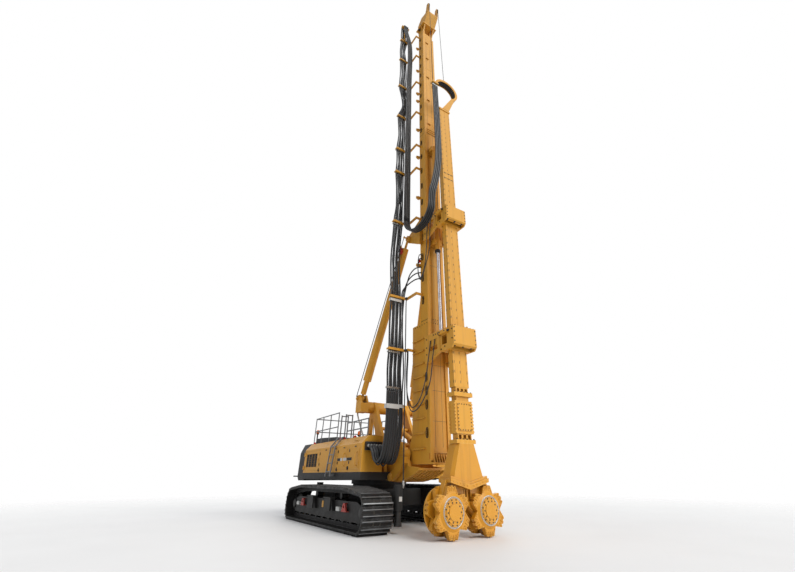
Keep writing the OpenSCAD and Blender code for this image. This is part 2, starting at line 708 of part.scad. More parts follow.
// Mast
module mast_tube(x0, x1, z0, z1) {
    difference() {
        box([x0, -mast_w / 2, z0], [x1, mast_w / 2, z1]);
        box([x0 + mast_t, -mast_w / 2 + mast_t, z0 - 1], [x1 - mast_t, mast_w / 2 - mast_t, z1 + 1]);
    }
}
module mast_lower() {
    color(yellow) {
        difference() {
            mast_tube(mast_back_low, mast_front, mast_foot_z, mast_step_z);
            for (z = [2500, 3350, 3800, 4250, 4900, 5500])
                box([mast_front - 220, -mast_w / 2 - 1, z], [mast_front - 150, mast_w / 2 + 1, z + 240]);
        }
        both_sides() {
            for (z = [2150, 2600, 3050, 3500, 3950, 4400, 4850, 5300, 5750])
                box([mast_back_low + 80, mast_w / 2 - 1, z], [mast_front - 280, mast_w / 2 + 70, z + 40]);
            box([mast_front - 1, mast_w / 2 - 90, mast_foot_z + 60],
                [mast_front + 50, mast_w / 2 + 40, mast_step_z]);
            difference() {
                side_plate(250, 370, [[mast_back_low + 1, 1800], [2680, 1900], [2620, pivot_z + 60],
                    [2740, 2240],
                    [mast_back_low + 1, 2700]]);
                rod_y(pivot_x, 240, 380, pivot_z, pivot_r);
            }
        }
        for (k = [0 : 6])
            side_plate(-312 + k * 100, -288 + k * 100, [[mast_front - 1, mast_foot_z],
                [mast_front + 110, mast_foot_z],
                [mast_front + 90, mast_foot_z + 60], [mast_front + 40, mast_foot_z + 180],
                    [mast_front - 1, mast_foot_z + 260]]);
        box([mast_front - 1, -330, mast_foot_z + 259], [mast_front + 45, 330, mast_foot_z + 285]);
        box([mast_back_low, -mast_w / 2, mast_foot_z - 40], [mast_front + 110, mast_w / 2,
            mast_foot_z + 1]);
    }
}
module mast_upper() {
    color(yellow) {
        difference() {
            mast_tube(mast_back_up, mast_front, mast_step_z + seat, mast_top_z);
            for (k = [0 : 19])
                box([mast_back_up + 120, -mast_w / 2 - 1, 7200 + k * 1000],
                    [mast_back_up + 200, mast_w / 2 + 1, 7460 + k * 1000]);
        }
        both_sides() {
            box([mast_front - 1, mast_w / 2 - 90, mast_step_z + seat],
                [mast_front + 50, mast_w / 2 + 40, mast_top_z - 400]);
            difference() {
                side_plate(500, 560, [[stay_pin_top[0] - 120, stay_pin_top[2] - 140],
                    [mast_back_up + 200, stay_pin_top[2] - 700],
                    [mast_back_up + 200, stay_pin_top[2] + 600],
                        [stay_pin_top[0] - 120, stay_pin_top[2] + 140]]);
            }
            box([mast_back_up, mast_w / 2 - 1, stay_pin_top[2] - 500],
                [mast_back_up + 190, 501, stay_pin_top[2] + 400]);
            rod_y(stay_pin_top[0], 555, 690, stay_pin_top[2], 55);
        }
    }
}
head_plate_z = mast_top_z + 760;
head_plate_half = 550;
head_box_front = mast_front + 700;
head_box_z = mast_top_z + 1620;
module mast_head() {
    color(yellow) {
        // Flared foot under the head plate
        both_sides() {
            side_plate(mast_w / 2 - 60, mast_w / 2, [[mast_back_up, mast_top_z], [mast_front, mast_top_z],
                [mast_front + 250, head_plate_z + 1], [mast_back_up - 40, head_plate_z + 1]]);
            front_plate(mast_front - 60, mast_front - 30, [[200, mast_top_z], [mast_w / 2 - 20, mast_top_z],
                [mast_w / 2 - 20, mast_top_z + 350], [head_plate_half - 20, head_plate_z + 1],
                    [200, head_plate_z + 1]]);
        }
        box([mast_back_up, -mast_w / 2, mast_top_z], [mast_front, mast_w / 2, mast_top_z + 40]);
        box([mast_back_up - 80, -head_plate_half, head_plate_z],
            [mast_front + 290, head_plate_half, head_plate_z + 60]);
        // Box that leans forward, closed below
        difference() {
            side_plate(-430, 430, [[mast_back_up - 20, head_plate_z + 59],
                [mast_front + 270, head_plate_z + 59],
                [head_box_front, head_box_z], [head_box_front, head_box_z + 120],
                    [mast_back_up + 420, head_box_z + 330],
                [mast_back_up - 20, head_plate_z + 700]]);
            side_plate(-390, 390, [[mast_back_up + 40, head_plate_z + 100],
                [mast_front + 240, head_plate_z + 100],
                [head_box_front - 50, head_box_z + 10], [head_box_front - 50, head_box_z + 200],
                [mast_back_up + 430, head_box_z + 500], [mast_back_up + 40, head_box_z + 500]]);
            for (s = [sheave_front, sheave_back]) rod_y(s[0], -440, 440, s[1], 60);
        }
        // Two brackets at the front edge, each with a fork for its sheave
        both_sides() for (y = [300, 400])
            difference() {
                side_plate(y, y + 30, [[head_box_front - 330, head_box_z + 60],
                    [head_box_front, head_box_z - 20],
                    [head_box_front + 30, head_box_z + 500], [head_box_front + 120, head_box_z + 820],
                    [head_box_front + 60, head_box_z + 1040], [head_box_front - 110, head_box_z + 1010],
                    [head_box_front - 200, head_box_z + 500]]);
                rod_y(sheave_front[0], y - 10, y + 40, sheave_front[1], 40);
            }
    }
}
sheave_front = [head_box_front + 10, head_box_z + 860];
sheave_back = [mast_back_up + 300, head_plate_z + 560];
module groove_wheel(s, y0, y1, r, grooves) {
    difference() {
        rod_y(s[0], y0, y1, s[1], r);
        for (y = grooves) translate([s[0], y, s[1]]) rotate([90, 0, 0])
            rotate_extrude() translate([r + 8, 0]) circle(r = 34);
    }
}
module head_sheaves() {
    color(dark) {
        both_sides() {
            rod_y(sheave_front[0], 298, 432, sheave_front[1], 40 - seat);
            groove_wheel(sheave_front, 330 + seat, 400 - seat, 130, [365]);
        }
        rod_y(sheave_back[0], -432, 432, sheave_back[1], 60 - seat);
        groove_wheel(sheave_back, -220, 220, 240, [-150, 0, 150]);
    }
}
module feed_barrel() {
    color(yellow) {
        difference() {
            rod_z(feed_x, 0, feed_z0, feed_z1, 105);
            rod_z(feed_x, 0, feed_z0 - 1, feed_z1 - 60, feed_rod_d / 2 + seat);
        }
        for (z = [feed_z0 + 250, feed_z1 - 300]) difference() {
            box([mast_front, -200, z], [feed_x + 60, 200, z + 260]);
            rod_z(feed_x, 0, z - 1, z + 261, 100);
        }
    }
}
// Box frame round the bar, with arms that run on the mast's front rails
module clamp(z) {
    top = z + clamp_h;
    roller_x = (bar_front + clamp_front) / 2;
    difference() {
        union() {
            side_plate(-clamp_half, clamp_half, [[bar_back - 160, z], [clamp_front - 110, z],
                [clamp_front, z + 120], [clamp_front, top], [bar_back - 160, top]]);
            both_sides() side_plate(mast_w / 2 + 40 + gap, clamp_half + 20, [[mast_front - 60, z - 230],
                [mast_front + 160, z - 230], [bar_back - 159, z + 20], [bar_back - 159, top],
                [mast_front - 60, top]]);
        }
        box([bar_back - seat, -bar_w / 2 - gap, z - 200], [bar_front + seat, bar_w / 2 + gap, top + 1]);
        // Recess for the roller in front of the bar, open below
        box([bar_front + 40, -clamp_half + 50, z - 1], [clamp_front - 50, clamp_half - 50, z + 330]);
        // Windows in the cheeks and arms
        for (s = [-1, 1]) translate([0, s * (clamp_half - 80), 0]) {
            box([bar_back - 60, -150, z + 200], [bar_front - 40, 150, top - 220]);
            box([mast_front + 260, -150, z + 130], [bar_back - 300, 150, top - 230]);
        }
    }
    rod_y(roller_x, -clamp_half + 49, clamp_half - 49, z + 150, 75);
    // Clamp cylinders beside the box
    both_sides() {
        rod_x(bar_back - 120, bar_front + 60, clamp_half + 45, top - 130, 60);
        box([bar_back - 60, clamp_half - 1, top - 190], [bar_front, clamp_half + 46, top - 70]);
    }
}
module guide_pads(z) {
    both_sides() {
        box([mast_front - 61, mast_w / 2 + 10, z - 100], [mast_front - 1 - seat, mast_w / 2 + 46,
            z + clamp_h]);
        box([mast_front + 50 + seat, mast_w / 2 - 80, z - 100],
            [mast_front + 110, clamp_half + 1, z + clamp_h]);
    }
}
module upper_guide() {
    color(yellow) {
        clamp(clamp_hi_z);
        both_sides() box([mast_front + 50, mast_w / 2 - 80, clamp_hi_z - 100],
            [mast_front + 110, clamp_half + 1, clamp_hi_z + clamp_h]);
    }
}
module sledge_clamp() {
    color(yellow) {
        clamp(clamp_lo_z);
        guide_pads(clamp_lo_z);
        difference() {
            box([mast_front + 109, -clamp_half, clamp_lo_z + 300],
                [bar_back - 100, clamp_half, clamp_lo_z + clamp_h]);
            box([mast_front + 160, -300, clamp_lo_z + 200], [bar_back - 159, 300,
                clamp_lo_z + clamp_h - 80]);
        }
    }
}
module feed_rod() {
    color(chrome) rod_z(feed_x, 0, clamp_lo_z + clamp_h, 12000, feed_rod_d / 2);
}
arm_z = [5420, 7550, 11300, 14400, 16050, 18700, 21500, 24300, 26600];
hose_y0 = -1360;
hose_pitch = 85;
hose_x = 2780;
hose_r = 36;
hose_n = 6;
hose_z0 = 4000;
saddle_r = 140;
saddle_x = hose_x + saddle_r;
saddle_z = 28200;
module hose_arms() {
    last_y = hose_y0 + (hose_n - 1) * hose_pitch;
    color(yellow) {
        for (z = arm_z) {
            back = z < mast_step_z ? mast_back_low + 60 : mast_back_up + 60;
            box([hose_x + hose_r + seat, hose_y0 - 80, z], [hose_x + hose_r + 80, -620, z + 80]);
            box([hose_x + hose_r + 79, -700, z], [back + 80, -620, z + 80]);
            box([back, -621, z], [back + 80, -mast_w / 2, z + 80]);
            box([hose_x - hose_r - 30, hose_y0 - 80, z + 15], [hose_x - hose_r - seat, last_y + 80,
                z + 65]);
            for (y = [hose_y0 - 80, last_y + 50])
                box([hose_x - hose_r - 29, y, z + 15], [hose_x + hose_r + 2, y + 30, z + 65]);
        }
        // Post and drum that turn the hoses over at the top
        box([saddle_x - 70, -1190, arm_z[len(arm_z) - 1]], [saddle_x + 30, -1110, saddle_z]);
        rod_y(saddle_x, hose_y0 - 60, last_y + 60, saddle_z, saddle_r - hose_r - seat);
    }
}
module mast_hoses() {
    color(black) for (k = [0 : hose_n - 1]) {
        y = hose_y0 + k * hose_pitch;
        rod_z(hose_x, y, hose_z0, saddle_z, hose_r);
        if (k > 0 && k < hose_n - 1) {
            translate([saddle_x, y, saddle_z]) rotate([90, 0, 0])
                rotate_extrude(angle = 180) translate([saddle_r, 0]) circle(r = hose_r);
            rod_z(saddle_x + saddle_r, y, loop_top, saddle_z, hose_r);
        }
    }
}

// Backstay cylinders
function stay_low(s) = [stay_pin_low[0], s * stay_pin_low[1], stay_pin_low[2]];
function stay_top(s) = [stay_pin_top[0], s * stay_pin_top[1], stay_pin_top[2]];
function stay_at(s, d) = stay_top(s) + unit(stay_low(s) - stay_top(s)) * d;
stay_len = norm(stay_low(1) - stay_top(1));
stay_barrel_end = stay_len - 700;
// The rod's eye stands open round its pin, because the stroke follows the mast's lean only nearly
stay_eye_r = 81;
module stay_barrel(s) {
    difference() {
        union() {
            strut(stay_at(s, 520), stay_at(s, stay_barrel_end), stay_d / 2);
            strut(stay_at(s, 0), stay_at(s, 521), 54);
            rod_y(stay_top(s)[0], stay_top(s)[1] - 55, stay_top(s)[1] + 55, stay_top(s)[2], 130);
        }
        strut(stay_at(s, 2600), stay_at(s, stay_barrel_end + 1), stay_rod_d / 2 + seat);
        rod_y(stay_top(s)[0], stay_top(s)[1] - 80, stay_top(s)[1] + 80, stay_top(s)[2], 55.3);
    }
}
module stay_rod(s) {
    difference() {
        union() {
            strut(stay_at(s, stay_len - 2600), stay_at(s, stay_len - 190), stay_rod_d / 2);
            strut(stay_at(s, stay_len - 191), stay_at(s, stay_len), 50);
            rod_y(stay_low(s)[0], stay_low(s)[1] - 55, stay_low(s)[1] + 55, stay_low(s)[2], 135);
        }
        rod_y(stay_low(s)[0], stay_low(s)[1] - 200, stay_low(s)[1] + 200, stay_low(s)[2], stay_eye_r);
    }
}
module stay_barrel_right() { color(yellow) stay_barrel(-1); }
module stay_barrel_left() { color(yellow) stay_barrel(1); }
module stay_rod_right() { color(yellow) stay_rod(-1); }
module stay_rod_left() { color(yellow) stay_rod(1); }

// Bar and cutter
module bar_tube() {
    color(yellow) difference() {
        box([bar_back, -bar_w / 2, bar_z0], [bar_front, bar_w / 2, bar_z1]);
        box([bar_back + bar_t, -bar_w / 2 + bar_t, bar_z0 - 1],
            [bar_front - bar_t, bar_w / 2 - bar_t, bar_z1 + 1]);
        // Bolt windows at the splice, and seams along the front
        for (z = [splice_z, splice_z + 300])
            for (y = [-185, 0, 185])
                box([bar_front - bar_t - 1, y - 65, z], [bar_front + 1, y + 65, z + 50]);
        for (y = [-bar_w / 2 + 70, 0, bar_w / 2 - 70])
            box([bar_front - 6, y - 6, bar_z0 + 200], [bar_front + 1, y + 6, bar_z1 - 100]);
    }
}
neck_c = [210, bar_z1 + 1900];
neck_r = 770;
neck_x0 = 4950;
neck_x1 = 5310;
module neck_arc(x0, x1, t) {
    translate([x0, 0, 0]) rotate([90, 0, 90]) linear_extrude(height = x1 - x0)
        translate(neck_c) difference() {
            circle(r = neck_r);
            circle(r = neck_r - t);
            polygon([[0, 0], [-2 * neck_r, 0], [-2 * neck_r, -2 * neck_r], [0, -2 * neck_r],
                [1.147 * neck_r, -1.638 * neck_r]]);
        }
}
module gooseneck() {
    mid = (neck_x0 + neck_x1) / 2;
    color(yellow) {
        box([bar_back - 60, -bar_w / 2 - 40, bar_z1], [bar_front + 40, bar_w / 2 + 40, bar_z1 + 120]);
        // Curved trough with windows, between two rims
        difference() {
            neck_arc(neck_x0, neck_x1, 40);
            for (a = [-30, 35, 100, 150])
                translate([mid, neck_c[0], neck_c[1]]) rotate([a, 0, 0])
                    translate([-100, neck_r - 100, -120]) cube([200, 200, 240]);
        }
        for (x = [neck_x0, neck_x1 - 30]) {
            neck_arc(x, x + 30, 140);
            front_plate(x, x + 30, [[-140, bar_z1 + 119], [280, bar_z1 + 119], [700, bar_z1 + 1240],
                [555, bar_z1 + 1430], [440, bar_z1 + 1200]]);
        }
        front_plate(neck_x0, neck_x1, [[200, bar_z1 + 119], [240, bar_z1 + 119], [640, bar_z1 + 1240],
            [600, bar_z1 + 1240]]);
        for (z = [450, 850]) box([neck_x0, 60 + 0.35 * z, bar_z1 + z],
            [neck_x1, 100 + 0.35 * z, bar_z1 + z + 40]);
        // Plate that holds the loop's hoses
        box([loop_end[0] - 110, loop_end[1] - 220, neck_c[1]], [loop_end[0] + 110, loop_end[1] + 180,
            neck_c[1] + 80]);
    }
}
module bar_coupling() {
    c = (bar_back + bar_front) / 2;
    color(yellow) {
        // Neck and flange under the bar, with bolt windows
        difference() {
            box([c - 120, -250, 3670], [c + 120, 250, bar_z0]);
            for (y = [-160, 0, 160]) box([c + 60, y - 50, 3700], [c + 121, y + 50, bar_z0 - 40]);
        }
        box([c - 190, -370, 3550], [c + 190, 370, 3671]);
        box([c - 120, -250, 3419], [c + 120, 250, 3551]);
        // Swivel block with cover plates and toothed edges
        box([c - 160, -340, 2500], [c + 160, 340, 3420]);
        box([c + 159, -270, 2580], [c + 185, 270, 3340]);
        for (k = [0 : 8]) {
            both_sides() box([c + 100, 339, 2540 + k * 96], [c + 158, 366, 2590 + k * 96]);
            both_sides() box([c - 158, 339, 2540 + k * 96], [c - 100, 366, 2590 + k * 96]);
        }
        // Foot with windows, and its flange
        difference() {
            box([c - 120, -270, 2340], [c + 120, 270, 2501]);
            for (y = [-180, 0, 180]) box([c + 40, y - 55, 2370], [c + 121, y + 55, 2470]);
        }
        box([c - 190, -365, 2240 + seat], [c + 190, 365, 2341]);
    }
}
shield_back = [[-330, 2240], [330, 2240], [630, 1340], [0, 1160], [-630, 1340]];
shield_front = [[-270, 2240], [270, 2240], [540, 1375], [0, 1225], [-540, 1375]];
module cutter_frame() {
    hub_y = hub_pitch / 2;
    leg_front = cut_mid + leg_t / 2;
    color(yellow) {
        // Tapered shield with sloping sides
        front_plate(cut_mid - 210, cut_mid + 111, shield_back);
        hull() {
            front_plate(cut_mid + 100, cut_mid + 110, shield_back);
            front_plate(cut_mid + 220, cut_mid + 230, shield_front);
        }
        // Two chevron flanges
        front_plate(cut_mid - 290, cut_mid + 290, [[-700, 1375], [-700, 1275], [0, 1100], [700, 1275],
            [700, 1375], [0, 1220]]);
        front_plate(cut_mid - 255, cut_mid + 255, [[-675, 1430], [-675, 1365], [0, 1210], [675, 1365],
            [675, 1430], [0, 1275]]);
        difference() {
            union() {
                both_sides() front_plate(cut_mid - leg_t / 2, leg_front, [[-1, 1180], [740, 1340],
                    [hub_y + 330, hub_z + 60], [hub_y + 240, hub_z - 240], [hub_y - 240, hub_z - 240],
                    [-1, hub_z + 140]]);
                both_sides() rod_x(cut_mid - leg_t / 2, leg_front, hub_y, hub_z, 370);
            }
            both_sides() rod_x(cut_mid - leg_t, cut_mid + leg_t, hub_y, hub_z, shaft_r + seat);
            // Channel between the legs
            box([leg_front - 70, -130, hub_z + 210], [leg_front + 1, 130, 1180]);
        }
        for (y = [-75, 25]) rod_z(leg_front - 40, y, hub_z + 200, 1190, 32);
    }
}
// One lobe of a cutter disc as pairs of angle from its middle and share of the tooth radius
lobe = [[-30, 0.70], [-15, 0.93], [-12, 0.99], [-8.5, 0.985], [-7, 0.94], [-4, 0.945], [-3.3, 0.995],
    [3.3, 0.995], [4, 0.945], [7, 0.94], [8.5, 0.985], [12, 0.99], [15, 0.93]];
module star() {
    difference() {
        polygon(flat([for (k = [0 : 5]) [for (q = lobe)
            let (a = 30 + 60 * k + q[0]) tooth_r * q[1] * [cos(a), sin(a)]]]));
        circle(r = 100);
    }
}
module cutter_wheel(s) {
    front_x = cut_mid + leg_t / 2 + 12;
    back_x = cut_mid - leg_t / 2 - 12;
    translate([0, s * hub_pitch / 2, hub_z]) {
        translate([front_x, 0, 0]) rotate([90, 0, 90]) linear_extrude(height = disc_t) star();
        translate([back_x - disc_t, 0, 0]) rotate([90, 0,
            90]) linear_extrude(height = disc_t) rotate(20) star();
        rod_x(cut_back, cut_front, 0, 0, shaft_r - 15);
        rod_x(back_x - disc_t, front_x + disc_t, 0, 0, shaft_r);
        // Dished hub with stepped flanges in front, and a round wear plate behind
        translate([front_x + disc_t - 1, 0, 0]) rotate([0, 90, 0]) cylinder(h = 51, r1 = 425, r2 = 345);
        rod_x(front_x + disc_t, cut_front - 36, 0, 0, 300);
        rod_x(front_x + disc_t, cut_front - 18, 0, 0, 262);
        rod_x(cut_back, back_x - disc_t + 1, 0, 0, 300);
        rod_x(cut_back, cut_back + 60, 0, 0, 0.93 * tooth_r);
    }
}
module cutter_wheel_right() { color(yellow) cutter_wheel(-1); }
module cutter_wheel_left() { color(yellow) cutter_wheel(1); }

// Free hoses
swag_route = [[house_front + 180.3, 2290], [2220, 2290], [2330, 2120], [2400, 1880], [2530, 1800],
    [2660, 1920], [2740, 2250], [hose_x, 2900], [hose_x, hose_z0 - 0.3]];
module hose_swag() {
    color(black) for (k = [0 : hose_n - 1]) {
        y0 = port_y + k * port_pitch;
        y1 = hose_y0 + k * hose_pitch;
        m = len(swag_route) - 1;
        hose([for (i = [0 : m]) [swag_route[i][0], y0 + (y1 - y0) * min(max(i - 1, 0) / (m - 2), 1),
            swag_route[i][1]]], hose_r, [0, 1, 0]);
    }
}
loop_left = [3150, -900];
loop_right = [5000, -800];
loop_end = [5260, -545];
loop_bottom = 10400;
loop_top = saddle_z - 200;
loop_neck = neck_c[1] - 0.3;
module hose_loop() {
    span = loop_right - loop_left;
    mid = (loop_left + loop_right) / 2;
    r = norm(span) / 2;
    d = span / norm(span);
    side = [-d[1], d[0]];
    color(black) for (k = [0 : 3]) {
        off = (k - 1.5) * 92;
        arc = [for (a = [180 : 22.5 : 360]) let (p = mid + d * r * cos(a) + side * off)
            [p[0], p[1], loop_bottom + r + r * sin(a)]];
        x = saddle_x + saddle_r;
        y = hose_y0 + (k + 1) * hose_pitch;
        p = loop_left + side * off;
        q = loop_right + side * off;
        e = loop_end + side * off;
        hose(concat([[x, y, loop_top - 0.3], [x, y, loop_top - 400], [p[0], p[1], loop_top - 2000]], arc,
            [[0.4 * q[0] + 0.6 * e[0], 0.4 * q[1] + 0.6 * e[1], 12400], [e[0], e[1], 13800],
            [e[0], e[1], loop_neck]]), 44, [side[0], side[1], 0]);
    }
}

car_body();
slew_ring();
side_frame_right();
side_frame_left();
track_right();
track_left();
track_wheels_right();
track_wheels_left();
lashing_eyes();
jack_foot_front_right();
jack_foot_front_left();
jack_foot_rear_right();
jack_foot_rear_left();
platform();
rear_platform();
counterweight();
house_shell();
house_door();
engine_block();
cooler_cover();
roof_rails();
ladder();
beacons();
cab_shell();
cab_door();
cab_glass();
cab_door_glass();
cab_seat();
gantry();
front_bracket();
luff_cylinders();
hose_manifold();
mast_lower();
mast_upper();
mast_head();
head_sheaves();
feed_barrel();
upper_guide();
hose_arms();
mast_hoses();
stay_barrel_right();
stay_barrel_left();
stay_rod_right();
stay_rod_left();
sledge_clamp();
feed_rod();
bar_tube();
gooseneck();
bar_coupling();
cutter_frame();
cutter_wheel_right();
cutter_wheel_left();
hose_swag();
hose_loop();
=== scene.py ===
"""Dresses the crawler-carried soil-mixing rig: finishes, hoses, ropes, bolts, trim, light and camera."""

import json
import logging
from dataclasses import dataclass
from enum import Enum
from math import acos, cos, pi, radians, sin, tan
from typing import Optional, Sequence, Union

import bmesh
import bpy
from bpy.types import Material, Node, NodeSocket, NodeTree, Object
from mathutils import Matrix, Vector

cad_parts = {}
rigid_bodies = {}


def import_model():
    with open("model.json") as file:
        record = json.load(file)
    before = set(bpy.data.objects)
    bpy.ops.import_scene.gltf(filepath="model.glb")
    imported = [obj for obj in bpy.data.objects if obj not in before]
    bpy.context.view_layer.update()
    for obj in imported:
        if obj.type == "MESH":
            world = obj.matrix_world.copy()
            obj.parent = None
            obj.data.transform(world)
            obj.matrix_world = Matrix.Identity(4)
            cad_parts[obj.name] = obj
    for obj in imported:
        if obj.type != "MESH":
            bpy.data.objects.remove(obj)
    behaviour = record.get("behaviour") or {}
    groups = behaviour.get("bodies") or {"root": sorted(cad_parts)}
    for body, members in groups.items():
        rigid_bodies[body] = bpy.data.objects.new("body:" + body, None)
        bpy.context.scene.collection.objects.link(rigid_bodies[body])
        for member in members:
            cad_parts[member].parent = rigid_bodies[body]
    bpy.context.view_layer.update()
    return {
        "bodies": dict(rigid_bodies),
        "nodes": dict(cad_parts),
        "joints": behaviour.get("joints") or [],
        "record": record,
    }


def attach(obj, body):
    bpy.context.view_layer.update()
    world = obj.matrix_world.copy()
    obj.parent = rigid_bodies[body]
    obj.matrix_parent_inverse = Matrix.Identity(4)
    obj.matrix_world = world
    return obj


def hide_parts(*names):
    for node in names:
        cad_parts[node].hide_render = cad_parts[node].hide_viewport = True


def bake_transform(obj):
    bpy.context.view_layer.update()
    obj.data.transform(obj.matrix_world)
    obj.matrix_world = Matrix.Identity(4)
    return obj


log = logging.getLogger("rig")
Pair = tuple[float, float]
Row = tuple[float, ...]
Pairs = tuple[Pair, ...]
Triple = tuple[float, float, float]
Route = tuple[Triple, ...]
Point = Union[Triple, Vector]
Color = tuple[float, float, float, float]
Profile = Sequence[Pair]
FRONT: Triple = (1, 0, 0)
BACK: Triple = (-1, 0, 0)
UP: Triple = (0, 0, 1)
DOWN: Triple = (0, 0, -1)
SIDES = (-1, 1)
FLOAT = "NodeSocketFloat"
COLOR = "NodeSocketColor"


class Body(str, Enum):
    """Bodies of the rig that pieces ride on."""

    UNDER = "undercarriage"
    UPPER = "upper"
    DOOR = "side_door"
    CAB_DOOR = "cab_entry"
    MAST = "mast"
    SLEDGE = "sledge"
    BAR = "bar"
    WHEEL_R = "wheel_right"
    WHEEL_L = "wheel_left"


class Slot(str, Enum):
    """Material slots of the rig's record."""

    YELLOW = "yellow_paint"
    BLACK = "black_paint"
    STEEL = "dark_steel"
    TRACK = "track_steel"
    CAST = "cast_weight"
    RED = "red_paint"
    RUBBER = "hose_rubber"
    GLASS = "window_glass"
    SEAT = "seat_cover"
    LENS = "orange_lens"
    CHROME = "chrome_rod"


def srgb(text: str) -> Color:
    """Turns a screen colour into the linear values that shaders use.

    Args:
        text: six hexadecimal digits.

    Returns:
        Linear red, green, blue and a full alpha.
    """
    parts = [int(text[i : i + 2], 16) / 255 for i in (0, 2, 4)]
    linear = [c / 12.92 if c <= 0.04045 else ((c + 0.055) / 1.055) ** 2.4 for c in parts]
    return (linear[0], linear[1], linear[2], 1.0)


class Graph:
    """Places and links the nodes of one node tree."""

    def __init__(self, tree: NodeTree) -> None:
        """Keeps the tree that nodes are added to."""
        self.tree = tree

    def fill(self, node: Node, inputs: dict) -> Node:
        """Sets or links some inputs of a node.

        Args:
            node: the node.
            inputs: values or sockets, by the input's name or number.

        Returns:
            The same node.
        """
        for key, value in inputs.items():
            if isinstance(value, NodeSocket):
                self.tree.links.new(value, node.inputs[key])
            else:
                node.inputs[key].default_value = value
        return node

    def add(self, kind: str, inputs: Optional[dict] = None, **props: object) -> Node:
        """Adds one node.

        Args:
            kind: the node's type name.
            inputs: values or sockets for its inputs, by name or number.
            props: settings of the node itself.

        Returns:
            The new node.
        """
        node = self.tree.nodes.new(kind)
        for name, value in props.items():
            setattr(node, name, value)
        return self.fill(node, inputs or {})

    def math(self, operation: str, a: object, b: object = 0.0, clamp: bool = False) -> NodeSocket:
        """Adds a sum, product or other plain step and gives its result."""
        return self.add("ShaderNodeMath", {0: a, 1: b}, operation=operation, use_clamp=clamp).outputs[0]

    def ramp(
        self, value: object, low: float, high: float, out_low: float = 0.0, out_high: float = 1.0
    ) -> NodeSocket:
        """Maps a value from one range to another, held inside it, and gives the result."""
        inputs = {"Value": value, "From Min": low, "From Max": high, "To Min": out_low, "To Max": out_high}
        return self.add("ShaderNodeMapRange", inputs).outputs[0]

    def mix(self, factor: object, a: object, b: object) -> NodeSocket:
        """Mixes two colours and gives the result."""
        return self.add("ShaderNodeMix", {0: factor, 6: a, 7: b}, data_type="RGBA").outputs[2]

    def noise(self, vector: object, scale: object, detail: float = 4.0) -> NodeSocket:
        """Adds a noise pattern and gives its value."""
        return self.add("ShaderNodeTexNoise", {"Vector": vector, "Scale": scale, "Detail": detail}).outputs[0]


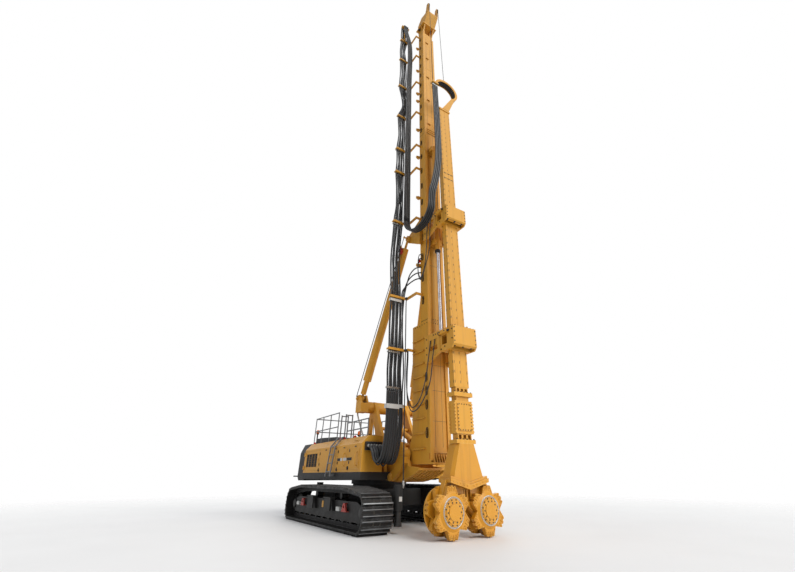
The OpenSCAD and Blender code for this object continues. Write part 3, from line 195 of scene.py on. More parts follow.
class Effects:
    """Shader node groups that several finishes share."""

    cloud_scale: float = 0.7
    speck_scale: float = 9.0
    run_stretch: Triple = (5.0, 5.0, 0.35)
    # How far the ambient-occlusion test reaches for the painted shade in corners.
    corner_shade_reach: float = 0.3
    dust_heights: Pair = (2.4, 0.1)
    edge_break_scale: float = 6.0
    wave_scale: float = 1.6
    samples: int = 4

    def __init__(self) -> None:
        """Builds the groups once."""
        self.aging_and_shade = self._aging_and_shade()
        # Worn edges together with a painted highlight along them.
        self.edges = self._edges()
        self.grain = self._grain()

    @staticmethod
    def _open(
        name: str, inputs: Sequence[tuple[str, str, object]], outputs: Sequence[tuple[str, str]]
    ) -> tuple[Graph, Node, Node]:
        """Starts a group with named sockets.

        Args:
            name: the group's name.
            inputs: name, socket type and first value of each input.
            outputs: name and socket type of each output.

        Returns:
            The graph, the group's input node and its output node.
        """
        tree = bpy.data.node_groups.new(name, "ShaderNodeTree")
        for label, kind, value in inputs:
            tree.interface.new_socket(name=label, in_out="INPUT", socket_type=kind).default_value = value
        for label, kind in outputs:
            tree.interface.new_socket(name=label, in_out="OUTPUT", socket_type=kind)
        graph = Graph(tree)
        return graph, graph.add("NodeGroupInput"), graph.add("NodeGroupOutput")

    def _aging_and_shade(self) -> NodeTree:
        """Fading, run marks of dirt, painted shade in corners and hollows, and dust near the ground and on
        top faces.

        Returns:
            The group.
        """
        graph, source, sink = self._open(
            "aged_and_shaded_coat",
            [
                ("Color", COLOR, (0.5, 0.5, 0.5, 1)),
                ("Fade", FLOAT, 0.1),
                # The dark mask: run marks of dirt, and painted shade in corners.
                ("Dirt And Shade Color", COLOR, (0.05, 0.04, 0.03, 1)),
                ("Dirt And Shade", FLOAT, 0.4),
                ("Dust Color", COLOR, (0.3, 0.25, 0.18, 1)),
                ("Dust", FLOAT, 0.3),
                ("Roughness", FLOAT, 0.45),
            ],
            [("Color", COLOR), ("Roughness", FLOAT)],
        )
        place = graph.add("ShaderNodeTexCoord").outputs["Object"]
        broad = graph.noise(place, self.cloud_scale, 5.0)
        fine = graph.noise(place, self.speck_scale, 3.0)
        shade = graph.math("MULTIPLY", graph.math("SUBTRACT", broad, 0.5), source.outputs["Fade"])
        shade = graph.math("ADD", graph.math("MULTIPLY", shade, 2.0), 1.0)
        toned = {"Value": shade, "Color": source.outputs["Color"]}
        faded = graph.add("ShaderNodeHueSaturation", toned).outputs[0]
        drawn = graph.add("ShaderNodeMapping", {"Vector": place, "Scale": self.run_stretch}).outputs[0]
        runs = graph.ramp(graph.noise(drawn, 1.0, 6.0), 0.54, 0.78, 0.0, 0.55)
        # Painted shade: ambient occlusion darkens corners, creases and recesses, and this joins the run marks
        # of dirt in one dark mask.
        reach = {"Distance": self.corner_shade_reach}
        corner = graph.add("ShaderNodeAmbientOcclusion", reach, samples=self.samples).outputs["AO"]
        corner = graph.ramp(corner, 0.75, 0.2)
        soil = graph.math("MULTIPLY", graph.math("MAXIMUM", runs, corner), source.outputs["Dirt And Shade"], True)
        dirtied_and_shaded = graph.mix(soil, faded, source.outputs["Dirt And Shade Color"])
        height = graph.add("ShaderNodeSeparateXYZ", {0: place}).outputs[2]
        low = graph.ramp(height, *self.dust_heights)
        normal = graph.add("ShaderNodeNewGeometry").outputs["Normal"]
        up = graph.add("ShaderNodeSeparateXYZ", {0: normal}).outputs[2]
        laid = graph.math("MAXIMUM", graph.math("MULTIPLY", low, 0.8), graph.ramp(up, 0.6, 1.0, 0.0, 0.7))
        laid = graph.math("MULTIPLY", laid, graph.ramp(fine, 0.3, 0.7, 0.35, 1.0))
        dusty = graph.math("MULTIPLY", laid, source.outputs["Dust"], True)
        final = graph.mix(dusty, dirtied_and_shaded, source.outputs["Dust Color"])
        rough = graph.math("ADD", source.outputs["Roughness"], graph.math("MULTIPLY", dusty, 0.3))
        rough = graph.math("ADD", rough, graph.ramp(fine, 0.2, 0.8, -0.06, 0.08), True)
        graph.fill(sink, {"Color": final, "Roughness": rough})
        return graph.tree

    def _edges(self) -> NodeTree:
        """Wear and a painted highlight along sharp edges, broken up so that it isn't even.

        Returns:
            The group.
        """
        graph, source, sink = self._open(
            "edge_wear_and_highlight",
            [
                ("Color", COLOR, (0.5, 0.5, 0.5, 1)),
                ("Edge Color", COLOR, (0.6, 0.6, 0.6, 1)),
                ("Amount", FLOAT, 0.5),
                ("Radius", FLOAT, 0.02),
            ],
            [("Color", COLOR)],
        )
        place = graph.add("ShaderNodeTexCoord").outputs["Object"]
        bevel = {"Radius": source.outputs["Radius"]}
        round_normal = graph.add("ShaderNodeBevel", bevel, samples=self.samples).outputs[0]
        flat_normal = graph.add("ShaderNodeNewGeometry").outputs["Normal"]
        facing = graph.add("ShaderNodeVectorMath", {0: round_normal, 1: flat_normal}, operation="DOT_PRODUCT")
        edge = graph.ramp(facing.outputs["Value"], 0.99, 0.86)
        broken = graph.ramp(graph.noise(place, self.edge_break_scale, 6.0), 0.38, 0.62)
        mask = graph.math("MULTIPLY", graph.math("MULTIPLY", edge, broken), source.outputs["Amount"], True)
        # The lighter edge colour is partly wear and partly a painted highlight.
        worn = graph.mix(mask, source.outputs["Color"], source.outputs["Edge Color"])
        graph.fill(sink, {"Color": worn})
        return graph.tree

    def _grain(self) -> NodeTree:
        """Fine unevenness of a surface, as a height for a bump.

        Returns:
            The group.
        """
        graph, source, sink = self._open(
            "surface_grain",
            [("Scale", FLOAT, 60.0), ("Waviness", FLOAT, 0.3)],
            [("Height", FLOAT)],
        )
        place = graph.add("ShaderNodeTexCoord").outputs["Object"]
        fine = graph.noise(place, source.outputs["Scale"], 3.0)
        wave = graph.math("MULTIPLY", graph.noise(place, self.wave_scale, 2.0), source.outputs["Waviness"])
        graph.fill(sink, {"Height": graph.math("ADD", fine, wave)})
        return graph.tree


def open_material(name: str, color: Color) -> tuple[Material, Graph, Node]:
    """Starts a material made of nodes.

    Args:
        name: its name.
        color: its plain colour outside of renders.

    Returns:
        The material, its graph and its main shader.
    """
    material = bpy.data.materials.new(name)
    material.use_nodes = True
    material.diffuse_color = color
    return material, Graph(material.node_tree), material.node_tree.nodes["Principled BSDF"]


def duller(color: Color, share: float) -> Color:
    """Gives a colour darkened to a share of itself."""
    return tuple(share * c for c in color[:3]) + (1.0,)


@dataclass(frozen=True)
class CoatFinish:
    """A painted, cast or rubber surface with fading, dirt and dust, painted shade in its corners, worn edges
    with a painted highlight, and grain.
    """

    name: str
    color: Color
    slot: Slot
    metallic: float = 0.0
    roughness: float = 0.42
    fade: float = 0.07
    # Colour and amount of the dark mask: run marks of dirt, and painted shade in corners.
    dirt_and_shade_color: Color = (0.035, 0.026, 0.018, 1.0)
    dirt_and_shade_amount: float = 0.45
    dust: Color = (0.30, 0.24, 0.16, 1.0)
    dust_amount: float = 0.25
    # Edge colour: worn edges, plus a painted highlight where it is lighter than the paint.
    edge: Color = (0.5, 0.5, 0.5, 1.0)
    edge_wear_and_highlight_amount: float = 0.5
    edge_radius: float = 0.02
    grain: float = 70.0
    bump: float = 0.12
    bump_depth: float = 0.02
    coat: float = 0.0

    def make(self, effects: Effects) -> Material:
        """Builds the material.

        Args:
            effects: the shared node groups.

        Returns:
            The new material.
        """
        material, graph, shader = open_material(self.name, self.color)
        aging_and_shade = {
            "Color": self.color, "Fade": self.fade, "Dirt And Shade Color": self.dirt_and_shade_color, "Dirt And Shade": self.dirt_and_shade_amount,
            "Dust Color": self.dust, "Dust": self.dust_amount, "Roughness": self.roughness,
        }
        coat = graph.add("ShaderNodeGroup", aging_and_shade, node_tree=effects.aging_and_shade)
        # Worn edges with a painted highlight.
        wear = {
            "Color": coat.outputs["Color"], "Edge Color": self.edge, "Amount": self.edge_wear_and_highlight_amount,
            "Radius": self.edge_radius,
        }
        edge = graph.add("ShaderNodeGroup", wear, node_tree=effects.edges)
        grain = graph.add("ShaderNodeGroup", {"Scale": self.grain}, node_tree=effects.grain)
        relief = {"Height": grain.outputs["Height"], "Strength": self.bump, "Distance": self.bump_depth}
        bump = graph.add("ShaderNodeBump", relief)
        surface = {
            "Base Color": edge.outputs["Color"], "Roughness": coat.outputs["Roughness"],
            "Normal": bump.outputs["Normal"], "Metallic": self.metallic, "Coat Weight": self.coat,
        }
        graph.fill(shader, surface)
        return material


@dataclass(frozen=True)
class BrightFinish:
    """Bare bright metal: chromed rods, bands and rope."""

    name: str
    color: Color
    slot: Slot
    roughness: float = 0.16
    metallic: float = 1.0
    lay: float = 0.0
    smear_rough: float = 0.12
    smear_tone: float = 0.72

    def make(self, effects: Effects) -> Material:
        """Builds the material, with turning marks or the lay of a rope as its bump.

        Args:
            effects: the shared node groups.

        Returns:
            The new material.
        """
        material, graph, shader = open_material(self.name, self.color)
        place = graph.add("ShaderNodeTexCoord").outputs["Object"]
        smear = graph.ramp(graph.noise(place, 5.0, 5.0), 0.35, 0.7)
        tone = graph.mix(smear, self.color, duller(self.color, self.smear_tone))
        rough = graph.ramp(smear, 0.0, 1.0, self.roughness, self.roughness + self.smear_rough)
        if self.lay > 0:
            strands = {"Vector": place, "Scale": self.lay}
            wave = graph.add("ShaderNodeTexWave", strands, bands_direction="DIAGONAL")
            height = wave.outputs[1]
        else:
            grain = graph.add("ShaderNodeGroup", {"Scale": 160.0, "Waviness": 0.1}, node_tree=effects.grain)
            height = grain.outputs["Height"]
        bump = graph.add("ShaderNodeBump", {"Height": height, "Strength": 0.15, "Distance": 0.01})
        surface = {
            "Base Color": tone, "Roughness": rough, "Normal": bump.outputs["Normal"],
            "Metallic": self.metallic,
        }
        graph.fill(shader, surface)
        return material


@dataclass(frozen=True)
class ClearFinish:
    """Window glass or a lamp's lens."""

    name: str
    color: Color
    slot: Slot
    transmission: float = 0.9
    roughness: float = 0.04
    glow: float = 0.0
    film_rough: float = 0.1
    film_tone: float = 0.8
    bending: float = 1.45

    def make(self, effects: Effects) -> Material:
        """Builds the material with a thin film of dirt in its roughness and colour.

        Args:
            effects: the shared node groups.

        Returns:
            The new material.
        """
        material, graph, shader = open_material(self.name, self.color)
        place = graph.add("ShaderNodeTexCoord").outputs["Object"]
        film = graph.ramp(graph.noise(place, 3.0, 6.0), 0.45, 0.75)
        tone = graph.mix(film, self.color, duller(self.color, self.film_tone))
        rough = graph.ramp(film, 0.0, 1.0, self.roughness, self.roughness + self.film_rough)
        grain = graph.add("ShaderNodeGroup", {"Scale": 30.0, "Waviness": 0.6}, node_tree=effects.grain)
        bump = graph.add("ShaderNodeBump", {"Height": grain.outputs["Height"], "Strength": 0.03})
        surface = {
            "Base Color": tone, "Roughness": rough, "Normal": bump.outputs["Normal"],
            "Transmission Weight": self.transmission, "IOR": self.bending,
        }
        graph.fill(shader, surface)
        if self.glow > 0:
            graph.fill(shader, {"Emission Color": self.color, "Emission Strength": self.glow})
        return material


Finish = Union[CoatFinish, BrightFinish, ClearFinish]
# The dark mask colour given for each finish below stands for dirt runs and for painted shade in its corners.
# The edge colour given for each finish below stands for worn edges and, where it is a lighter tint of the
# paint, a painted highlight.
YELLOW = CoatFinish(
    "amber_coat", srgb("E2A22E"), Slot.YELLOW, roughness=0.5, coat=0.04, bump=0.08,
    dirt_and_shade_color=srgb("4A2E12"), dirt_and_shade_amount=0.5, dust=srgb("B99858"), dust_amount=0.16,
    edge=srgb("F2C878"), edge_wear_and_highlight_amount=0.55, edge_radius=0.03,
)
CUTTER = CoatFinish(
    "cutter_coat", srgb("DB981E"), Slot.YELLOW, roughness=0.36, grain=38.0, bump=0.3,
    dirt_and_shade_color=srgb("6E4210"), dirt_and_shade_amount=0.6, dust=srgb("B08A3C"), dust_amount=0.1,
    edge=srgb("F6CC6C"), edge_wear_and_highlight_amount=0.6, edge_radius=0.025,
)
BLACK = CoatFinish(
    "black_coat", srgb("181818"), Slot.BLACK, roughness=0.58, dirt_and_shade_color=srgb("0C0B0A"), dust=srgb("4A443B"),
    dust_amount=0.16, edge=srgb("6A6862"), edge_wear_and_highlight_amount=0.45,
)
STEEL = CoatFinish(
    "dark_steel", srgb("303133"), Slot.STEEL, metallic=0.35, roughness=0.48, dirt_and_shade_color=srgb("141312"),
    dust=srgb("6A6152"), dust_amount=0.22, edge=srgb("8C8C8A"), edge_wear_and_highlight_amount=0.5,
)
TRACK = CoatFinish(
    "track_steel", srgb("1F1E1D"), Slot.TRACK, metallic=0.4, roughness=0.55, dirt_and_shade_color=srgb("0B0A0A"),
    dirt_and_shade_amount=0.7, dust=srgb("4A4742"), dust_amount=0.1, edge=srgb("8C8E90"), edge_wear_and_highlight_amount=0.6,
    edge_radius=0.03, grain=30.0, bump=0.3,
)
RAIL = CoatFinish(
    "rail_grey", srgb("7C7E80"), Slot.STEEL, metallic=0.3, roughness=0.45, dirt_and_shade_color=srgb("35332F"),
    dust=srgb("8A8478"), dust_amount=0.15, edge=srgb("B8B9B8"), edge_radius=0.01,
)
CAST = CoatFinish(
    "cast_weight", srgb("262627"), Slot.CAST, roughness=0.62, dust=srgb("5C5346"), edge=srgb("5A5956"),
    grain=45.0, bump=0.4,
)
RED = CoatFinish(
    "red_coat", srgb("B3231C"), Slot.RED, dirt_and_shade_color=srgb("3A0C08"), edge=srgb("D77468"), edge_radius=0.012,
)
RUBBER = CoatFinish(
    "hose_rubber", srgb("26282A"), Slot.RUBBER, roughness=0.36, fade=0.2, grain=140.0, bump=0.15, coat=0.15,
    dirt_and_shade_color=srgb("0C0C0D"), dirt_and_shade_amount=0.5, dust=srgb("6A675F"), dust_amount=0.18,
    edge=srgb("3C3E40"), edge_wear_and_highlight_amount=0.2,
)
WHITE = CoatFinish(
    "white_plate", srgb("D8D9D6"), Slot.STEEL, dirt_and_shade_color=srgb("6A6559"), dirt_and_shade_amount=0.4, edge=srgb("F0F0EE"),
    edge_radius=0.01,
)
BOLT = CoatFinish(
    "bolt_black", srgb("2A2622"), Slot.STEEL, metallic=0.5, roughness=0.45, edge=srgb("8A867E"),
    edge_radius=0.006,
)
# A shaded copy of the amber paint: painted shade, used for the seams, the plug welds and the grille door's
# posts.
SHADED_AMBER = CoatFinish(
    "seam_shadow", srgb("6E4A18"), Slot.YELLOW, roughness=0.6, edge_wear_and_highlight_amount=0.2, edge_radius=0.01,
)
FABRIC = CoatFinish(
    "seat_cloth", srgb("2B2C30"), Slot.SEAT, roughness=0.85, edge_wear_and_highlight_amount=0.1, grain=320.0, bump=0.5,
    dust_amount=0.12,
)
CHROME = BrightFinish("chromed_rod", srgb("DADCE2"), Slot.CHROME, 0.12)
SILVER = BrightFinish("silver_band", srgb("C9CBC8"), Slot.CHROME, 0.3, 0.85)
WORN = BrightFinish("worn_steel", srgb("8D9092"), Slot.TRACK, 0.38, 0.75)
ROPE = BrightFinish("wire_rope", srgb("4A4B4C"), Slot.STEEL, 0.4, 0.8, 60.0)
GLASS = ClearFinish("tinted_glass", srgb("B9CFC6"), Slot.GLASS, 0.88)
ORANGE = ClearFinish("orange_lens", srgb("F07A12"), Slot.LENS, 0.25, 0.12, 0.15)
# The red lens glows faintly; on the mast's reflectors, which are no lamps, this glow is painted light.
RUBY = ClearFinish("red_lens", srgb("C8201A"), Slot.RED, 0.2, 0.14, 0.08)


class Palette:
    """Makes each finish once and gives it to whoever asks."""

    def __init__(self) -> None:
        """Builds the shared effects and an empty shelf of materials."""
        self.effects = Effects()
        self.shelf: dict[str, Material] = {}

    def get(self, finish: Finish) -> Material:
        """Gives a finish's material, made on first use.

        Args:
            finish: the finish.

        Returns:
            Its material.
        """
        if finish.name not in self.shelf:
            self.shelf[finish.name] = finish.make(self.effects)
        return self.shelf[finish.name]


def smooth(points: Sequence[Point], step: float) -> list[Vector]:
    """Draws one smooth line through points.

    Args:
        points: the points to pass through.
        step: about how far apart the new points are.

    Returns:
        Points along the line.
    """
    knots = [Vector(p) for p in points]
    knots = [2 * knots[0] - knots[1]] + knots + [2 * knots[-1] - knots[-2]]
    line: list[Vector] = []
    for a, b, c, d in zip(knots, knots[1:], knots[2:], knots[3:]):
        count = max(2, round((c - b).length / step))
        ta, tb, tc = (max((q - p).length, 1e-6) ** 0.5 for p, q in ((a, b), (b, c), (c, d)))
        m1 = (c - b) + tb * ((b - a) / ta - (c - a) / (ta + tb))
        m2 = (c - b) + tb * ((d - c) / tc - (d - b) / (tb + tc))
        for k in range(count):
            t = k / count
            line.append(
                (2 * t**3 - 3 * t**2 + 1) * b + (t**3 - 2 * t**2 + t) * m1
                + (3 * t**2 - 2 * t**3) * c + (t**3 - t**2) * m2
            )
    line.append(knots[-2].copy())
    return line


def between(start: Vector, end: Vector, steps: int) -> list[Vector]:
    """Gives evenly spaced points from one place to another."""
    return [start + (end - start) * (i / steps) for i in range(steps + 1)]


def angles(count: int, shift: float = 0.0) -> list[float]:
    """Gives even angles round a full turn, shifted by a share of their spacing."""
    return [2 * pi * (k + shift) / count for k in range(count)]


def around(points: Sequence) -> list[tuple]:
    """Gives each point of a closed loop with the one after it."""
    return list(zip(points, [*points[1:], points[0]]))


def in_order(a: float, b: float) -> Pair:
    """Gives two numbers, the lower one first."""
    return min(a, b), max(a, b)


class MeshDraft:
    """Collects small forms into one mesh."""

    def __init__(self) -> None:
        """Starts with an empty mesh."""
        self.bm = bmesh.new()

    def box(self, low: Point, high: Point, bevel: float = 0.0) -> None:
        """Adds a box.

        Args:
            low: its lowest corner.
            high: its highest corner.
            bevel: how far its edges are cut.
        """
        a, b = Vector(low), Vector(high)
        made = bmesh.ops.create_cube(self.bm, size=1.0)["verts"]
        for v in made:
            v.co = Vector([(a[i] + b[i]) / 2 + v.co[i] * (b[i] - a[i]) for i in range(3)])
        if bevel > 0:
            edges = list(dict.fromkeys(e for v in made for e in v.link_edges))
            bmesh.ops.bevel(self.bm, geom=edges, offset=bevel, segments=2, affect="EDGES", clamp_overlap=True)

    def skin(self, rings: Sequence[list[bmesh.types.BMVert]], shaded: bool) -> None:
        """Joins rings of points into a wall and closes both ends.

        Args:
            rings: the rings, each with as many points as the next.
            shaded: whether the wall is shaded as a round one.
        """
        for lower, upper in zip(rings, rings[1:]):
            for (a, b), (c, d) in zip(around(lower), around(upper)):
                self.bm.faces.new((a, b, d, c)).smooth = shaded
        self.bm.faces.new(list(reversed(rings[0])))
        self.bm.faces.new(rings[-1])

    def lathe(self, start: Point, axis: Point, profile: Profile, sides: int = 24) -> None:
        """Adds a turned form.

        Args:
            start: where its axis begins.
            axis: the way its axis points.
            profile: pairs of distance along the axis and radius.
            sides: how many faces go round it.
        """
        turn = Vector(UP).rotation_difference(Vector(axis).normalized()).to_matrix()
        rings = []
        for along, radius in profile:
            ring = []
            for a in angles(sides):
                local = Vector((radius * cos(a), radius * sin(a), along))
                ring.append(self.bm.verts.new(Vector(start) + turn @ local))
            rings.append(ring)
        self.skin(rings, sides > 8)

    def rod(self, start: Point, end: Point, radius: float, sides: int = 16) -> None:
        """Adds a round rod with softened ends.

        Args:
            start: the middle of its first end.
            end: the middle of its other end.
            radius: its radius.
            sides: how many faces go round it.
        """
        a, b = Vector(start), Vector(end)
        long = (b - a).length
        cut = min(radius * 0.2, long * 0.2)
        profile = [(0, radius - cut), (cut, radius), (long - cut, radius), (long, radius - cut)]
        self.lathe(a, b - a, profile, sides)

    def frame(self, corners: Sequence[Point], radius: float) -> None:
        """Adds thin rods round a closed loop of corners."""
        for a, b in around(corners):
            self.rod(a, b, radius, 8)

    def bolt(self, at: Point, axis: Point, radius: float, height: float) -> None:
        """Adds a hexagon head on a washer.

        Args:
            at: where the washer lies.
            axis: the way the head points.
            radius: the head's radius.
            height: the height of both.
        """
        washer = [(0, radius * 1.25), (height * 0.25, radius * 1.25)]
        self.lathe(at, axis, washer, 10)
        head = [(height * 0.2, radius), (height * 0.8, radius), (height, radius * 0.8)]
        self.lathe(at, axis, head, 6)

    def tube(self, line: Sequence[Vector], radius: float, sides: int = 8) -> None:
        """Adds a tube along a line of points.

        Args:
            line: the points it follows.
            radius: its radius.
            sides: how many faces go round it.
        """
        count = len(line)
        tangents = [(line[min(i + 1, count - 1)] - line[max(i - 1, 0)]).normalized() for i in range(count)]
        across = tangents[0].orthogonal().normalized()
        wide = radius / cos(pi / sides) ** 0.5
        rings = []
        for place, tangent in zip(line, tangents):
            across = (across - tangent * across.dot(tangent)).normalized()
            other = tangent.cross(across)
            ways = [across * cos(a) + other * sin(a) for a in angles(sides)]
            rings.append([self.bm.verts.new(place + wide * way) for way in ways])
        self.skin(rings, True)

    def plate(self, outline: Sequence[Point], depth: Point) -> None:
        """Adds a flat plate.

        Args:
            outline: the corners of one face.
            depth: how far and which way the other face lies.
        """
        near = [self.bm.verts.new(Vector(p)) for p in outline]
        far = [self.bm.verts.new(Vector(p) + Vector(depth)) for p in outline]
        self.skin([near, far], False)

    def finish(self, name: str, material: Material) -> Object:
        """Turns the draft into an object in the scene.

        Args:
            name: the object's name.
            material: its finish.

        Returns:
            The new object.
        """
        bmesh.ops.recalc_face_normals(self.bm, faces=self.bm.faces[:])
        mesh = bpy.data.meshes.new(name)
        self.bm.to_mesh(mesh)
        self.bm.free()
        mesh.materials.append(material)
        piece = bpy.data.objects.new(name, mesh)
        bpy.context.scene.collection.objects.link(piece)
        return piece


class Workshop:
    """Makes pieces from drafts and keeps count of them."""

    def __init__(self, palette: Palette) -> None:
        """Keeps the palette that pieces take their finishes from."""
        self.palette = palette
        self.count = 0

    def make(self, draft: MeshDraft, name: str, finish: Finish) -> Object:
        """Finishes a draft, which is on no body yet.

        Args:
            draft: the drafted mesh.
            name: the piece's name.
            finish: its finish.

        Returns:
            The piece.
        """
        piece = draft.finish(name, self.palette.get(finish))
        self.count += 1
        log.info("%s: %d faces", name, len(piece.data.polygons))
        return piece


@dataclass
class Assembly:
    """A group of pieces, with the workshop that makes them."""

    shop: Workshop

    def ride(self, draft: MeshDraft, name: str, finish: Finish, body: Body) -> Object:
        """Finishes a draft and lets it ride on a body.

        Args:
            draft: the drafted mesh.
            name: the piece's name.
            finish: its finish.
            body: the body that carries it.

        Returns:
            The piece.
        """
        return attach(self.shop.make(draft, name, finish), body.value)


@dataclass(frozen=True)
class Lamp:
    """One wide soft lamp that shines along a direction."""

    name: str
    way: Triple
    strength: float
    angle: float
    tint: Triple

    def hang(self) -> None:
        """Adds the lamp to the scene."""
        data = bpy.data.lights.new(self.name, "SUN")
        data.energy = self.strength
        data.angle = radians(self.angle)
        data.color = self.tint
        holder = bpy.data.objects.new(self.name, data)
        holder.rotation_euler = Vector(self.way).to_track_quat("-Z", "Y").to_euler()
        bpy.context.scene.collection.objects.link(holder)


@dataclass
class Studio:
    """Camera at the photograph's place, soft light, pale floor and white surroundings."""

    place: Triple = (15.02, -8.255, 1.43)
    right: Triple = (0.5527, 0.8334, 0.0)
    up: Triple = (0.4551, -0.3018, 0.8377)
    ahead: Triple = (-0.6982, 0.4630, 0.5461)
    focal_px: float = 368.8
    middle_px: Pair = (416.0, 235.4)
    frame_px: tuple[int, int] = (795, 572)
    sensor_mm: float = 36.0
    far: float = 400.0
    lamps: tuple[Lamp, ...] = (
        Lamp("key_light", (-0.72, -0.10, -0.62), 1.53, 30.0, (1.0, 0.985, 0.96)),
        Lamp("front_light", (-0.75, -0.55, -0.25), 0.7, 40.0, (1.0, 0.99, 0.97)),
        Lamp("side_light", (0.12, 0.85, -0.42), 0.1, 40.0, (1.0, 1.0, 1.0)),
        Lamp("back_light", (0.80, -0.35, -0.48), 0.65, 50.0, (0.97, 0.98, 1.0)),
    )
    room_tint: Color = (0.93, 0.95, 1.0, 1.0)
    room_strength: float = 0.42
    room_white: Color = (1.0, 1.0, 1.0, 1.0)
    mirrored_share: float = 0.45
    floor_radius: float = 34.0
    floor_clear: float = 8.0
    floor_gone: float = 0.8
    floor_tones: tuple[Color, Color] = ((0.93, 0.93, 0.92, 1.0), (0.96, 0.96, 0.95, 1.0))

    def camera(self) -> None:
        """Sets the camera up."""
        data = bpy.data.cameras.new("photo_camera")
        width, height = self.frame_px
        data.sensor_fit = "HORIZONTAL"
        data.sensor_width = self.sensor_mm
        data.lens = self.focal_px / width * self.sensor_mm
        data.shift_x = (width / 2 - self.middle_px[0]) / width
        data.shift_y = (self.middle_px[1] - height / 2) / width
        data.clip_end = self.far
        holder = bpy.data.objects.new("photo_camera", data)
        axes = (Vector(self.right), Vector(self.up), -Vector(self.ahead))
        turn = Matrix([[axes[c][r] for c in range(3)] for r in range(3)])
        holder.matrix_world = Matrix.Translation(self.place) @ turn.to_4x4()
        bpy.context.scene.collection.objects.link(holder)
        bpy.context.scene.camera = holder

    def light(self) -> None:
        """Adds the lamps and the white surroundings."""
        for lamp in self.lamps:
            lamp.hang()
        world = bpy.data.worlds.new("white_room")
        bpy.context.scene.world = world
        world.use_nodes = True
        graph = Graph(world.node_tree)
        dim = {"Color": self.room_tint, "Strength": self.room_strength}
        lit = graph.fill(world.node_tree.nodes["Background"], dim)
        seen = graph.add("ShaderNodeBackground", {"Color": self.room_white, "Strength": 1.0})
        rays = graph.add("ShaderNodeLightPath").outputs
        direct = graph.math("MAXIMUM", rays["Is Camera Ray"], rays["Is Transmission Ray"])
        mirrored = graph.math("MULTIPLY", rays["Is Glossy Ray"], self.mirrored_share)
        shown = graph.math("MAXIMUM", direct, mirrored)
        mixed = graph.add("ShaderNodeMixShader", {0: shown, 1: lit.outputs[0], 2: seen.outputs[0]})
        graph.fill(world.node_tree.nodes["World Output"], {"Surface": mixed.outputs[0]})

    def floor(self) -> None:
        """Lays a pale floor that fades into the white surroundings."""
        draft = MeshDraft()
        bmesh.ops.create_circle(draft.bm, cap_ends=True, segments=96, radius=self.floor_radius)
        material, graph, shader = open_material("pale_floor", self.floor_tones[0])
        place = graph.add("ShaderNodeTexCoord").outputs["Object"]
        spread = graph.add("ShaderNodeVectorMath", {0: place}, operation="LENGTH").outputs["Value"]
        cloud = graph.ramp(graph.noise(place, 0.4, 3.0), 0.3, 0.7)
        tone = graph.mix(cloud, *self.floor_tones)
        rough = graph.ramp(spread, 0.0, self.floor_radius, 0.7, 0.8)
        graph.fill(shader, {"Base Color": tone, "Roughness": rough})
        clear = graph.add("ShaderNodeBsdfTransparent")
        out = graph.ramp(spread, self.floor_clear, self.floor_gone * self.floor_radius)
        mixed = graph.add("ShaderNodeMixShader", {0: out, 1: shader.outputs[0], 2: clear.outputs[0]})
        graph.fill(graph.tree.nodes["Material Output"], {"Surface": mixed.outputs[0]})
        piece = draft.finish("studio_floor", material)

    def build(self) -> None:
        """Builds the whole studio."""
        bpy.context.scene.view_settings.view_transform = "Standard"
        self.camera()
        self.light()
        self.floor()


